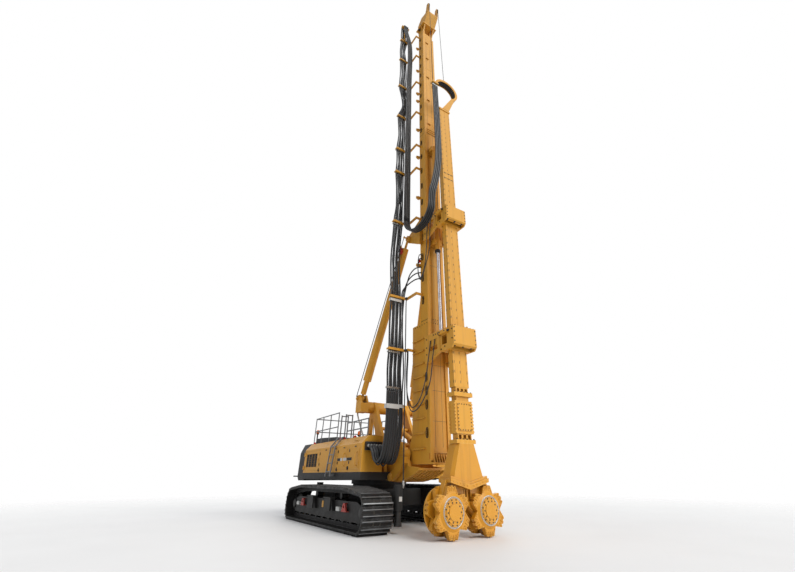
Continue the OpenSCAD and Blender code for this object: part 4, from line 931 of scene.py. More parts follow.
@dataclass
class HoseSwag(Assembly):
    """Hoses that sag from the house's manifold to the mast, where three go on up to its side."""

    radius: float = 0.036
    count: int = 6
    first_y: float = -1.65
    pitch_low: float = 0.105
    first_top_y: float = -1.36
    pitch_top: float = 0.085
    route: Pairs = (
        (2.1403, 2.29), (2.22, 2.29), (2.33, 2.12), (2.40, 1.88), (2.53, 1.80),
        (2.66, 1.92), (2.74, 2.25), (2.78, 2.90), (2.78, 3.9997),
    )
    thin_radius: float = 0.022
    thin_sag: Row = (0.07, -0.05, 0.1, 0.03, -0.06)
    long_radius: float = 0.026
    long_sag: float = 0.04
    long_sway: float = 0.05
    long_ends: Route = ((-1.29, -0.86, 8.35), (-1.2, -0.8, 8.62), (-1.12, -0.74, 8.88))
    long_foot: Pair = (2.78, 3.93)
    mast_face: Pair = (3.56, -0.382)
    sleeve: Profile = ((0.0, 0.046), (0.05, 0.046), (0.075, 0.04))
    thin_sleeve: Profile = ((-0.06, 0.03), (0.03, 0.03), (0.05, 0.026))
    long_sleeve: Profile = ((-0.06, 0.032), (0.03, 0.032), (0.05, 0.028))

    def sagging(self, low: float, top: float, sag: float, power: int) -> list[Point]:
        """Gives the stretch that hangs between the house and the mast.

        Args:
            low: where it leaves the manifold, across the rig.
            top: where it climbs along the mast, across the rig.
            sag: how much deeper than the plain route it hangs.
            power: how much the extra depth keeps to the middle.

        Returns:
            Points from the manifold to the foot of the mast's bundle.
        """
        last = len(self.route) - 1
        points: list[Point] = []
        for i, (x, z) in enumerate(self.route):
            share = min(max(i - 1, 0) / (last - 2), 1)
            deep = sag * sin(pi * i / last) ** power
            points.append((x, low + (top - low) * share, z - deep))
        return points

    def line(self, k: float, sag: float = 0.0) -> list[Vector]:
        """Gives the route of one hose.

        Args:
            k: its place in the row, counted from the outer side.
            sag: how much deeper than the others it hangs.

        Returns:
            Points from the manifold to the foot of the mast's bundle.
        """
        low = self.first_y + k * self.pitch_low
        top = self.first_top_y + k * self.pitch_top
        return smooth(self.sagging(low, top, sag, 2), 0.07)

    def long_line(self, low: float, top: float, height: float) -> list[Vector]:
        """Gives the route of one hose that goes on up the mast to its side.

        Args:
            low: where it leaves the manifold, across the rig.
            top: where it climbs along the mast, across the rig.
            height: where it ends on the mast's side.

        Returns:
            Points from the manifold to the mast's side.
        """
        points = self.sagging(low, top, self.long_sag, 1)
        sway = self.long_sway * sin(40 * top)
        points += [(2.76, top + sway, 4.7), (2.78, top, 5.46), (2.75, top - sway, 6.5), (2.78, top, 7.59)]
        x, y = self.mast_face
        points += [(2.84, top + 0.02, 7.95), (3.05, top + 0.12, height - 0.2)]
        points += [(3.34, y - 0.14, height), (x, y, height)]
        return smooth(points, 0.08)

    def hang(
        self, name: str, line: list[Vector], radius: float, foot: Vector
    ) -> Object:
        """Args:
            name: the hose's name.
            line: its route.
            radius: its radius.
            foot: from where on it follows the mast; not used.

        Returns:
            The hose.
        """
        draft = MeshDraft()
        draft.tube(line, radius, 10)
        hose = self.shop.make(draft, name, RUBBER)
        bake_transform(hose)
        return hose

    def build(self) -> None:
        """Hangs the hoses and puts sleeves on their ends."""
        sleeves = MeshDraft()
        for k in range(self.count):
            line = self.line(k)
            hose = self.hang(f"swag_hose_{k}", line, self.radius, line[-2])
            if k == 0:
                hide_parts("hose_swag")
            sleeves.lathe(line[0], FRONT, self.sleeve, 12)
        for k, sag in enumerate(self.thin_sag):
            line = self.line(k + 0.5, sag)
            self.hang(f"swag_thin_hose_{k}", line, self.thin_radius, line[-2])
            sleeves.lathe(line[0], FRONT, self.thin_sleeve, 12)
        x, z = self.long_foot
        for k, ends in enumerate(self.long_ends):
            line = self.long_line(*ends)
            self.hang(f"swag_long_hose_{k}", line, self.long_radius, Vector((x, ends[1], z)))
            sleeves.lathe(line[0], FRONT, self.long_sleeve, 12)
        self.ride(sleeves, "swag_sleeves", SILVER, Body.UPPER)


@dataclass
class HoseLoop(Assembly):
    """Four hoses that hang from the mast's top in a long loop and climb to the bar's neck."""

    count: int = 4
    radius: float = 0.044
    top: float = 27.9997
    bottom: float = 10.4
    left: Pair = (3.15, -0.90)
    right: Pair = (5.0, -0.80)
    end: Pair = (5.26, -0.545)
    neck: float = 19.3997
    pitch: float = 0.092
    first_x: float = 3.06
    first_y: float = -1.275
    top_pitch: float = 0.085
    clear: float = 0.05
    turn_steps: int = 16
    sleeve_long: float = 0.16
    sleeve: Profile = ((0, 0.05), (0.02, 0.056), (0.15, 0.056))

    def lines(self, k: int) -> tuple[list[Vector], list[Vector]]:
        """Gives the route of one hose.

        Args:
            k: its place in the row, counted from the outer side.

        Returns:
            The hanging leg, and the turn with the climbing leg.
        """
        left, right, end = Vector(self.left), Vector(self.right), Vector(self.end)
        way = (right - left).normalized()
        half = (right - left).length / 2
        side = Vector((-way.y, way.x))
        shift = side * (k - 1.5) * self.pitch
        middle = (left + right) / 2
        arc = []
        for step in range(self.turn_steps + 1):
            a = pi + pi * step / self.turn_steps
            p = middle + way * half * cos(a) + shift
            arc.append((p.x, p.y, self.bottom + half + half * sin(a)))
        y = self.first_y + k * self.top_pitch
        x, y0, z0 = arc[0]
        down = [(self.first_x, y, self.top), (self.first_x, y, self.top - 0.4), (x, y0, self.top - 2.0)]
        down += [(x, y0, 21.0), (x, y0, 16.0), (x, y0, z0)]
        q, e = right + shift, end + shift
        turn = q * 0.4 + e * 0.6
        up = arc + [(q.x + 0.08, q.y - 0.005, 11.85), (turn.x, turn.y - self.clear, 12.4)]
        up += [(e.x, e.y, 13.8), (e.x, e.y, self.neck - 0.6), (e.x, e.y, self.neck)]
        return smooth(down, 0.2), smooth(up, 0.1)

    def build(self) -> None:
        """Hangs the hoses, each in two legs that meet where the loop turns."""
        bands = MeshDraft()
        for k in range(self.count):
            down, up = self.lines(k)
            for name, line, a, b in (
                ("hanging", down, Body.MAST, Body.SLEDGE), ("climbing", up, Body.SLEDGE, Body.BAR),
            ):
                draft = MeshDraft()
                draft.tube(line, self.radius, 10)
                leg = self.shop.make(draft, f"loop_hose_{name}_{k}", RUBBER)
                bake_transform(leg)
                if k == 0 and a is Body.MAST:
                    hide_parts("hose_loop")
            bands.lathe(up[-1] - Vector((0, 0, self.sleeve_long)), UP, self.sleeve, 14)
        self.ride(bands, "loop_end_sleeves", SILVER, Body.BAR)


@dataclass
class MastBundle(Assembly):
    """Hoses tied along the mast's right side, slack between the arms that hold them."""

    x: float = 2.78
    first_y: float = -1.36
    pitch: float = 0.085
    count: int = 6
    radius: float = 0.036
    foot: float = 4.0
    saddle: float = 28.2
    saddle_x: float = 2.92
    saddle_r: float = 0.14
    saddle_steps: int = 12
    turned_end: float = 28.0
    arms: Row = (5.42, 7.55, 11.3, 14.4, 16.05, 18.7, 21.5, 24.3, 26.6)
    sway: Row = (0.0, 0.03, -0.06, 0.1, 0.05, 0.09, 0.28, 0.06, -0.05, 0.03, 0.0)
    gather: Row = (1.0, 1.0, 0.9, 0.62, 0.85, 0.8, 0.6, 0.9, 0.75, 1.0, 1.0)
    usual_gap: float = 3.2
    stray: float = 0.03
    bulge: float = 0.05
    thin: Pairs = ((0.5, 2.2), (1.5, -1.6), (2.5, 2.8), (3.5, -2.4), (4.5, 2.0))
    thin_radius: float = 0.02
    thin_back: float = 0.05
    thin_span: Pair = (4.3, 27.9)
    margin: float = 0.05
    bands: Row = (4.06, 5.33, 11.21, 16.0)
    tapes: Route = ((3.40, 0.15, -0.885), (7.40, 0.12, -0.885), (3.44, 0.11, -0.70))
    tape_split: float = -0.885
    tape_half: float = 0.006

    def line(self, k: float, spread: float) -> list[Vector]:
        """Gives the route of one hose.

        Args:
            k: its place in the row, counted from the outer side.
            spread: how far it strays from the row between two arms.

        Returns:
            Points from the foot to the saddle.
        """
        y = self.first_y + k * self.pitch
        middle = self.first_y + 2.5 * self.pitch
        stops = [self.foot] + [z + 0.04 for z in self.arms] + [self.saddle]
        points: list[Point] = [(self.x, y, stops[0])]
        for i, (low, high) in enumerate(zip(stops, stops[1:])):
            slack = (high - low) / self.usual_gap
            stray = self.stray * slack * spread
            for share in (0.06, 0.28, 0.5, 0.72, 0.94):
                bow = sin(pi * share) ** 2
                wave = sin(1.7 * k + 2.3 * i + 5.0 * share)
                close = 1 + (self.gather[i] - 1) * bow
                dy = (y - middle) * (close - 1) + self.sway[i] * bow + stray * wave * bow
                dx = -self.bulge * bow * (1 + (-1) ** int(k)) * (1.5 - close) - stray * (1 + wave) * bow
                points.append((self.x + dx, y + dy, low + (high - low) * share))
            points.append((self.x, y, high))
        return smooth(points, 0.16)

    def build(self) -> None:
        """Lays the bundle, its thin lines and what ties it."""
        bundle = MeshDraft()
        for k in range(self.count):
            line = self.line(k, 1.0)
            if 1 <= k <= 4:
                for step in range(1, self.saddle_steps + 1):
                    a = pi - pi * step / self.saddle_steps
                    out, rise = self.saddle_r * cos(a), self.saddle_r * sin(a)
                    line.append(Vector((self.saddle_x + out, line[-1].y, self.saddle + rise)))
                line.append(Vector((self.saddle_x + self.saddle_r, line[-1].y, self.turned_end)))
            bundle.tube(line, self.radius, 10)
        piece = self.ride(bundle, "mast_hose_bundle", RUBBER, Body.MAST)
        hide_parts("mast_hoses")
        thin = MeshDraft()
        bottom, top = self.thin_span
        for k, spread in self.thin:
            line = [p + Vector((-self.thin_back, 0, 0)) for p in self.line(k, spread)]
            thin.tube([p for p in line if bottom < p.z < top], self.thin_radius, 6)
        self.ride(thin, "mast_thin_lines", RUBBER, Body.MAST)
        self.tie()

    def tie(self) -> None:
        """Puts bright bands and white tape round the bundle."""
        bands = MeshDraft()
        low, high = self.first_y - self.margin, self.first_y + (self.count - 1) * self.pitch + self.margin
        back, front = self.x - 0.072, self.x + 0.044
        for z in self.bands:
            for shift in (0.0, 0.035):
                foot, head = z + shift, z + shift + 0.02
                bands.box((back, low, foot), (self.x - 0.062, high, head))
                bands.box((self.x + 0.038, low, foot), (front, high, head))
                for y in (low, high - 0.008):
                    bands.box((back, y, foot), (front, y + 0.008, head))
        self.ride(bands, "bundle_bands", SILVER, Body.MAST)
        tape, thick = MeshDraft(), self.tape_half
        back, front = self.x - 0.075, self.x + 0.05
        for z, tall, far in self.tapes:
            near = low if far <= self.tape_split else self.tape_split
            for (x0, y0), (x1, y1) in around([(back, near), (front, near), (front, far), (back, far)]):
                corner = (min(x0, x1) - thick, min(y0, y1) - thick, z)
                tape.box(corner, (max(x0, x1) + thick, max(y0, y1) + thick, z + tall), 0.005)
        self.ride(tape, "bundle_tape", WHITE, Body.MAST)


@dataclass
class ClampHoses(Assembly):
    """Thin free hoses: to the sledge, to the upper guide, and one that drops to the ground."""

    radius: float = 0.018
    drop_radius: float = 0.02
    sledge_x: Pair = (4.30, 4.56)
    guide_x: Pair = (4.30, 4.52)
    drop_x: float = 2.955
    drop_y: float = -0.742
    drop_step: float = 0.512
    tip_z: float = 1.30
    tip: Profile = ((0, 0.024), (0.02, 0.034), (0.14, 0.034), (0.16, 0.022), (0.2, 0.022))

    @staticmethod
    def tube(points: Sequence[Point], radius: float) -> MeshDraft:
        """Drafts one hose.

        Args:
            points: its route.
            radius: its radius.

        Returns:
            The draft.
        """
        draft = MeshDraft()
        draft.tube(smooth(points, 0.08), radius, 8)
        return draft

    @staticmethod
    def declare(
        hose: Object, points: Sequence[Point], radius: float, far_end: str,
        pieces: Sequence[Object] = (),
    ) -> None:
        """Smooths a free hose's route, which nothing else uses.

        Args:
            hose: the piece; not used.
            points: its route.
            radius: its radius; not used.
            far_end: what its far end is; not used.
            pieces: the separate pieces on it; not used.
        """
        line = smooth(points, 0.08)

    def build(self) -> None:
        """Lays the hoses and their fittings."""
        for k, x in enumerate(self.sledge_x):
            points = [
                (2.96 + 0.06 * k, -0.66, 5.42), (2.97 + 0.06 * k, -0.665, 5.15),
                (3.02 + 0.05 * k, -0.72, 4.5 - 0.1 * k), (3.18, -0.76, 3.8 - 0.15 * k),
                (3.5, -0.78, 3.38 - 0.12 * k), (3.85 + 0.05 * k, -0.76, 3.5 - 0.15 * k),
                (x - 0.12, -0.70, 4.1 - 0.1 * k), (x, -0.62, 4.9), (x, -0.545, 5.35), (x, -0.528, 5.5),
            ]
            hose = self.shop.make(self.tube(points, self.radius), f"sledge_hose_{k}", RUBBER)
            self.declare(hose, points, self.radius, "object")
            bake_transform(hose)
        for k, x in enumerate(self.guide_x):
            points = [
                (3.56, -0.385, 9.5 - 0.2 * k), (3.56, -0.47, 9.46 - 0.2 * k), (3.58, -0.56, 9.1 - 0.2 * k),
                (3.66, -0.60, 8.5 - 0.1 * k), (3.86, -0.62, 8.2 - 0.1 * k), (4.1 + 0.05 * k, -0.62, 8.5),
                (x - 0.05, -0.60, 9.3), (x, -0.595, 10.0), (x, -0.565, 10.5), (x, -0.53, 10.78),
            ]
            hose = self.ride(self.tube(points, self.radius), f"guide_hose_{k}", RUBBER, Body.MAST)
            self.declare(hose, points, self.radius, "object")
        self.drop()

    def drop(self) -> None:
        """Hangs the hose that drops to the ground, with its fitting and the clips."""
        x, y = self.drop_x, self.drop_y
        points = [(x, -0.702, 7.59), (x, -0.735, 7.48)]
        points += [(x, y, 7.3 - self.drop_step * i) for i in range(13)]
        hose = self.ride(self.tube(points, self.drop_radius), "drop_hose", RUBBER, Body.MAST)
        tip = MeshDraft()
        tip.lathe((x, y, self.tip_z), DOWN, self.tip, 12)
        fitting = self.ride(tip, "drop_hose_fitting", WHITE, Body.MAST)
        self.declare(hose, points, self.drop_radius, "fitting", [fitting])
        clips = MeshDraft()
        for z in (5.44, 7.57):
            clips.box((x - 0.04, y - 0.03, z - 0.02), (x + 0.04, -0.70, z + 0.05), 0.006)
        for k in range(2):
            clips.rod((3.56, -0.378, 9.5 - 0.2 * k), (3.56, -0.41, 9.5 - 0.2 * k), 0.035, 12)
        self.ride(clips, "hose_clips", STEEL, Body.MAST)


@dataclass
class Ropes(Assembly):
    """Taut wire ropes, a hook block, and the pipe from the gantry to the roof."""

    radius: float = 0.013
    tie_radius: float = 0.015
    sheave: Pair = (4.71, 29.28)
    sheave_r: float = 0.122
    sheave_y: float = 0.365
    wrap: float = 0.9
    bar_end: Triple = (5.13, 0.21, 20.21)
    guide_end: Triple = (4.88, -0.38, 11.03)
    tie_foot: Triple = (0.40, -1.43, 4.08)
    tie_head: Triple = (2.84, -0.85, 10.55)
    hook_share: float = 0.93
    guide_socket: Profile = ((0, 0.07), (0.02, 0.07), (0.02, 0.035), (0.1, 0.03), (0.16, 0.018))
    bar_socket: Profile = ((0, 0.09), (0.025, 0.09), (0.025, 0.04), (0.1, 0.034), (0.16, 0.018))
    hook: Profile = ((0, 0.03), (0.05, 0.08), (0.14, 0.11), (0.24, 0.1), (0.30, 0.05))
    hook_cap: Profile = ((0, 0.05), (0.04, 0.06), (0.1, 0.05), (0.16, 0.02))
    pipe: Route = ((0.28, -1.2, 3.6), (0.30, -1.27, 3.52), (0.62, -1.30, 3.1), (1.02, -1.30, 2.62))

    def build(self) -> None:
        """Stretches the ropes between their fastenings."""
        self.hoists()
        self.tie()
        pipe = MeshDraft()
        pipe.tube(smooth(self.pipe, 0.06), 0.028, 10)
        pipe.lathe((1.02, -1.30, 2.615), UP, [(0, 0.07), (0.015, 0.07)], 14)
        self.ride(pipe, "gantry_pipe", SILVER, Body.UPPER)

    def hoists(self) -> None:
        """Leads the ropes over the mast's head and down to the bar and the upper guide."""
        middle_x, middle_z = self.sheave
        over = []
        for step in range(13):
            a = pi * self.wrap * (1 - step / 12)
            over.append((middle_x + self.sheave_r * cos(a), middle_z + self.sheave_r * sin(a)))
        for side in SIDES:
            draft = MeshDraft()
            draft.tube([Vector((x, side * self.sheave_y, z)) for x, z in over], self.radius, 6)
            self.ride(draft, f"head_rope_{'right' if side < 0 else 'left'}", ROPE, Body.MAST)
        top_x = middle_x + self.sheave_r
        start, end = Vector((top_x, self.sheave_y, middle_z)), Vector(self.bar_end)
        middle = (start + end) / 2
        for name, a, b, bodies in (
            ("hoist_rope_high", start, middle, (Body.MAST, Body.SLEDGE)),
            ("hoist_rope_low", middle, end, (Body.SLEDGE, Body.BAR)),
        ):
            draft = MeshDraft()
            draft.tube(between(a, b, 24), self.radius, 6)
            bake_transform(self.shop.make(draft, name, ROPE))
        draft = MeshDraft()
        draft.tube([Vector((top_x, -self.sheave_y, middle_z)), Vector(self.guide_end)], self.radius, 6)
        self.ride(draft, "guide_rope", ROPE, Body.MAST)
        socket = MeshDraft()
        socket.lathe((4.88, -0.38, 10.91), UP, self.guide_socket, 14)
        self.ride(socket, "guide_rope_socket", STEEL, Body.MAST)
        eye = MeshDraft()
        eye.lathe((5.13, 0.21, 20.165), UP, self.bar_socket, 14)
        self.ride(eye, "hoist_rope_socket", STEEL, Body.BAR)

    def tie(self) -> None:
        """Stretches the tie rope beside the backstay and hangs the red hook block on it."""
        foot, head = Vector(self.tie_foot), Vector(self.tie_head)
        draft = MeshDraft()
        draft.tube(between(foot, head, 40), self.tie_radius, 6)
        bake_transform(self.shop.make(draft, "tie_rope", ROPE))
        lug = MeshDraft()
        lug.rod((2.85, -0.685, 10.6), (2.85, -0.87, 10.6), 0.035)
        lug.rod((2.85, -0.83, 10.6), (2.85, -0.85, 10.6), 0.06)
        self.ride(lug, "tie_rope_lug", YELLOW, Body.MAST)
        boss = MeshDraft()
        boss.rod((0.43, -1.385, 4.02), (0.43, -1.45, 4.02), 0.045)
        self.ride(boss, "tie_rope_foot", YELLOW, Body.UPPER)
        place = foot + (head - foot) * self.hook_share
        block = MeshDraft()
        block.lathe(place - Vector((0, 0, 0.32)), UP, self.hook, 16)
        self.ride(block, "hook_block", RED, Body.MAST)
        cap = MeshDraft()
        cap.lathe(place - Vector((0, 0, 0.03)), UP, self.hook_cap, 14)
        self.ride(cap, "hook_block_cap", YELLOW, Body.MAST)


@dataclass
class BarTrim(Assembly):
    """Rows of plug welds in painted shade on the guided bar, the bolts of its splice and coupling, and its
    neck's hoses.
    """

    front: float = 5.26
    half: float = 0.3
    foot: float = 3.95
    head: float = 17.35
    rows: Row = (-0.262, -0.03, 0.262)
    side_rows: Pairs = ((5.215, 5.24), (5.02, 5.045))
    step: float = 0.31
    weld_half: float = 0.012
    weld_long: float = 0.085
    splice: Pair = (12.6, 13.25)
    cover_front: float = 5.315
    flush: float = 0.0004
    sink: float = 0.001
    cover_bolt: Pair = (0.014, 0.016)
    flange_bolt: Pair = (0.022, 0.03)
    splice_bolt: Pair = (0.013, 0.016)
    neck_y: float = 0.21
    neck_z: float = 19.4
    neck_r: float = 0.69

    def build(self) -> None:
        """Adds the welds, the bolts, the splice's keys and the hoses over the neck."""
        self.welds()
        self.bolts()
        keys = MeshDraft()
        back, front = self.front - self.sink, self.front + self.flush
        for z in (12.755, 13.055):
            for y in (-0.19, 0.0, 0.19):
                keys.box((back, y - 0.075, z), (front, y + 0.075, z + 0.03))
        self.ride(keys, "splice_keys", BOLT, Body.BAR)
        self.neck_hoses()

    def welds(self) -> None:
        """Adds the plug welds on the front and the sides, as flat marks of painted shade."""
        welds = MeshDraft()
        count = int((self.head - self.foot) / self.step)
        back, front, half = self.front - self.sink, self.front + self.flush, self.weld_half
        for k in range(count):
            z = self.foot + k * self.step
            if self.splice[0] < z < self.splice[1]:
                continue
            top = z + self.weld_long
            for y in self.rows:
                welds.box((back, y - half, z), (front, y + half, top))
            for side in SIDES:
                edge = side * self.half
                low, high = in_order(edge, edge + side * 0.002)
                for near, far in self.side_rows:
                    welds.box((near, low, z), (far, high, top))
        self.ride(welds, "bar_plug_welds", SHADED_AMBER, Body.BAR)

    def bolts(self) -> None:
        """Adds the bolts of the coupling's cover, its flanges and the splice."""
        bolts = MeshDraft()
        for y in (-0.25, 0.25):
            for k in range(8):
                bolts.bolt((self.cover_front, y, 2.62 + k * 0.0975), FRONT, *self.cover_bolt)
        for k in range(5):
            for z in (2.60, 3.32):
                bolts.bolt((self.cover_front, -0.2 + 0.1 * k, z), FRONT, *self.cover_bolt)
        for y in (-0.33, -0.2, -0.07, 0.07, 0.2, 0.33):
            for x, z in ((5.28, 3.671), (4.98, 3.671), (5.28, 2.341)):
                bolts.bolt((x, y, z), UP, *self.flange_bolt)
        radius, height = self.splice_bolt
        for z in (12.715, 12.815, 13.015, 13.115):
            for y in (-0.265, -0.1, 0.1, 0.265):
                bolts.bolt((self.front - height + self.flush, y, z), FRONT, radius, height)
        self.ride(bolts, "bar_bolts", BOLT, Body.BAR)

    def neck_hoses(self) -> None:
        """Leads the loop's hoses over the inside of the curved neck."""
        hoses = MeshDraft()
        for k in range(4):
            x = 5.03 + 0.066 * k
            line = []
            for step in range(25):
                a = radians(178 - step * 9.2)
                y, z = self.neck_y + self.neck_r * cos(a), self.neck_z + self.neck_r * sin(a)
                line.append(Vector((x, y, z)))
            hoses.tube(line, 0.03, 8)
        self.ride(hoses, "neck_hoses", RUBBER, Body.BAR)


@dataclass
class CutterTrim(Assembly):
    """Bolt rings, hub rings and hard-facing beads of the two cutter wheels, and the chevron's bolts."""

    hub_y: float = 0.645
    hub_z: float = 0.612
    ring_x: float = 5.376
    ring_bolts: int = 44
    bolt_r: float = 0.322
    rim_r: float = 0.342
    flange_x: float = 5.394
    flange_r: float = 0.281
    inner_x: float = 5.412
    inner_r: float = 0.222
    back_x: float = 4.75
    back_r: float = 0.42
    front_disc: float = 5.327
    back_disc: float = 4.853
    back_turn: float = 20.0
    front_bead: float = 0.022
    back_bead: float = 0.012
    bead_sink: float = 0.004
    lobes: int = 6
    beads: tuple[tuple[float, Row], ...] = (
        (0.565, (-10.5, 0.0, 10.5)),
        (0.53, (-12.0, -6.0, 0.0, 6.0, 12.0)),
        (0.488, (-17.0, -9.0, 0.0, 9.0, 17.0)),
        (0.452, (-21.0, 21.0)),
    )

    def wheel(self, side: int) -> None:
        """Dresses one wheel, front and back.

        Args:
            side: -1 for the right wheel, 1 for the left one.
        """
        name, body = ("right", Body.WHEEL_R) if side < 0 else ("left", Body.WHEEL_L)
        centre = Vector((0.0, side * self.hub_y, self.hub_z))

        def at(x: float, radius: float, angle: float) -> Vector:
            """Gives a point on the wheel."""
            return centre + Vector((x, radius * cos(angle), radius * sin(angle)))

        ring, bolts, beads = MeshDraft(), MeshDraft(), MeshDraft()
        for a in angles(self.ring_bolts):
            ring.bolt(at(self.ring_x, self.bolt_r, a), FRONT, 0.012, 0.016)
        rim = [at(self.ring_x, self.rim_r, a) for a in angles(64)]
        ring.tube(rim + rim[:1], 0.008, 6)
        self.ride(ring, f"hub_ring_{name}", SILVER, body)
        for a in angles(12, 0.5):
            bolts.bolt(at(self.flange_x, self.flange_r, a), FRONT, 0.014, 0.018)
        for a in angles(10):
            bolts.bolt(at(self.inner_x, self.inner_r, a), FRONT, 0.015, 0.016)
        for a in angles(8):
            bolts.bolt(at(self.back_x, self.back_r, a), BACK, 0.02, 0.008)
        self.ride(bolts, f"hub_bolts_{name}", BOLT, body)
        for disc, turn, out, height in (
            (self.front_disc, 0.0, 1, self.front_bead), (self.back_disc, self.back_turn, -1, self.back_bead),
        ):
            profile = [(0, 0.019), (height * 0.6, 0.017), (height, 0.009)]
            for lobe in range(self.lobes):
                middle = radians(30 + 60 * lobe) + radians(turn)
                for row, places in self.beads:
                    for place in places:
                        tip = at(disc - out * self.bead_sink, row, middle + radians(place))
                        beads.lathe(tip, (out, 0, 0), profile, 8)
        self.ride(beads, f"tooth_beads_{name}", CUTTER, body)

    def build(self) -> None:
        """Dresses both wheels and the frame between them."""
        for side in SIDES:
            self.wheel(side)
        bolts = MeshDraft()
        for side in SIDES:
            for share in (0.1, 0.3, 0.5, 0.7, 0.9):
                y = side * (0.06 + share * 0.6)
                bolts.bolt((5.38, y, 1.163 + abs(y) * 0.236), FRONT, 0.016, 0.016)
        self.ride(bolts, "chevron_bolts", CUTTER, Body.BAR)


@dataclass
class MastTrim(Assembly):
    """Clips, window rims, seams, bolts, brackets, reflectors and a lamp on the mast and its head."""

    front: float = 4.0
    side: float = 0.38
    clip_z: Row = (12.9, 15.2, 17.65, 19.7, 21.9, 23.9, 25.7)
    strip_z: Row = (16.9, 17.05, 17.2)
    windows: int = 20
    first_window: float = 7.2
    low_windows: Row = (2.5, 3.35, 3.8, 4.25, 4.9, 5.5)
    seam_y: Row = (-0.18, 0.12)
    seam_z: Row = (2.95, 3.9, 4.75, 6.4, 8.8, 13.9, 18.4, 22.8)
    bolt_z: Row = (6.33, 6.47, 16.87, 17.26)
    bolt: Pair = (0.014, 0.018)
    bracket_z: Row = (8.9, 12.6, 15.3, 17.4, 19.9, 20.6, 22.9, 25.4)
    head_bolt_y: Row = (-0.5, -0.3, -0.1, 0.1, 0.3, 0.5)
    head_z: float = 27.62

    def build(self) -> None:
        """Adds the mast's small parts."""
        clips = MeshDraft()
        for z in self.clip_z:
            clips.box((self.front, -0.2, z), (self.front + 0.06, 0.02, z + 0.035), 0.006)
            clips.box((self.front + 0.03, -0.05, z - 0.08), (self.front + 0.055, -0.02, z + 0.115), 0.005)
        for z in self.strip_z:
            clips.box((self.front, -0.34, z), (self.front + 0.03, 0.34, z + 0.04), 0.004)
        self.ride(clips, "mast_clips", YELLOW, Body.MAST)
        rims = MeshDraft()
        for k in range(self.windows):
            z = self.first_window + k
            rims.tube(self.oval(3.66, z + 0.13, 0.062, 0.155), 0.012, 6)
        for z in self.low_windows:
            rims.tube(self.oval(3.815, z + 0.12, 0.055, 0.145), 0.012, 6)
        self.ride(rims, "mast_window_rims", BLACK, Body.MAST)
        self.seams_and_bolts()
        brackets = MeshDraft()
        for z in self.bracket_z:
            brackets.box((3.40, -0.50, z), (3.52, -0.379, z + 0.16), 0.012)
            brackets.rod((3.46, -0.53, z + 0.02), (3.46, -0.53, z + 0.14), 0.05, 12)
            brackets.box((3.42, -0.56, z + 0.05), (3.50, -0.49, z + 0.11), 0.01)
        self.ride(brackets, "mast_edge_brackets", YELLOW, Body.MAST)
        red = MeshDraft()
        red.box((3.93, -0.386, 1.86), (3.985, -0.379, 2.04), 0.002)
        red.box((3.93, 0.379, 1.86), (3.985, 0.386, 2.04), 0.002)
        red.box((3.42, -0.49, 9.12), (3.52, -0.379, 9.28), 0.02)
        # The reflectors' faint glow from the red lens finish is a painted glow.
        self.ride(red, "mast_reflectors", RUBY, Body.MAST)
        self.head()

    def seams_and_bolts(self) -> None:
        """Adds the seams of the front plates, as thin lines of painted shade, and the bolts of the mast's
        joints.
        """
        seams = MeshDraft()
        back, front = self.front - 0.001, self.front + 0.003
        for y in self.seam_y:
            seams.box((back, y - 0.004, 2.2), (front, y + 0.004, 26.3))
        for z in self.seam_z:
            seams.box((back, -0.285, z), (front, 0.285, z + 0.008))
        self.ride(seams, "mast_seams", SHADED_AMBER, Body.MAST)
        bolts = MeshDraft()
        for z in self.bolt_z:
            first, pitch = (3.1, 0.16) if z < 6.4 else (3.53, 0.085)
            for k in range(6):
                bolts.bolt((self.front, -0.26 + 0.104 * k, z), FRONT, *self.bolt)
                for side in SIDES:
                    bolts.bolt((first + pitch * k, side * self.side, z), (0, side, 0), *self.bolt)
        self.ride(bolts, "mast_bolts", BOLT, Body.MAST)

    def head(self) -> None:
        """Adds the bolts and the lamp of the mast's head."""
        bolts = MeshDraft()
        for y in self.head_bolt_y:
            bolts.bolt((4.24, y, self.head_z), UP, 0.02, 0.025)
            bolts.bolt((3.46, y, self.head_z), UP, 0.02, 0.025)
        for side in SIDES:
            for z, x in ((28.6, 4.55), (28.85, 4.62), (29.05, 4.66)):
                bolts.bolt((x, side * 0.43, z), (0, side, 0), 0.02, 0.022)
            bolts.bolt((4.71, side * 0.432, 29.28), (0, side, 0), 0.05, 0.016)
        self.ride(bolts, "head_bolts", BOLT, Body.MAST)
        lamp = MeshDraft()
        lamp.box((3.62, -0.46, 27.64), (3.74, -0.36, 27.72), 0.012)
        lamp.lathe((3.68, -0.41, 27.72), UP, [(0, 0.035), (0.06, 0.035), (0.09, 0.02)], 14)
        self.ride(lamp, "head_lamp", RUBY, Body.MAST)
        pads = MeshDraft()
        for side in SIDES:
            pads.box((3.62, side * 0.47 - 0.05, 27.5), (3.76, side * 0.47 + 0.05, 27.56), 0.01)
        self.ride(pads, "head_lamp_pads", STEEL, Body.MAST)

    def oval(self, x: float, z: float, half_x: float, half_z: float) -> list[Vector]:
        """Gives a closed oval round a window on the mast's right side.

        Args:
            x: its middle along the rig.
            z: its middle height.
            half_x: half its width.
            half_z: half its height.

        Returns:
            Points round it, the last one on the first.
        """
        line = []
        for k in range(25):
            a = 2 * pi * k / 24
            bulge = (abs(cos(a)) ** 4 + abs(sin(a)) ** 4) ** -0.25
            along, rise = half_x * bulge * cos(a), half_z * bulge * sin(a)
            line.append(Vector((x + along, -self.side - 0.004, z + rise)))
        return line


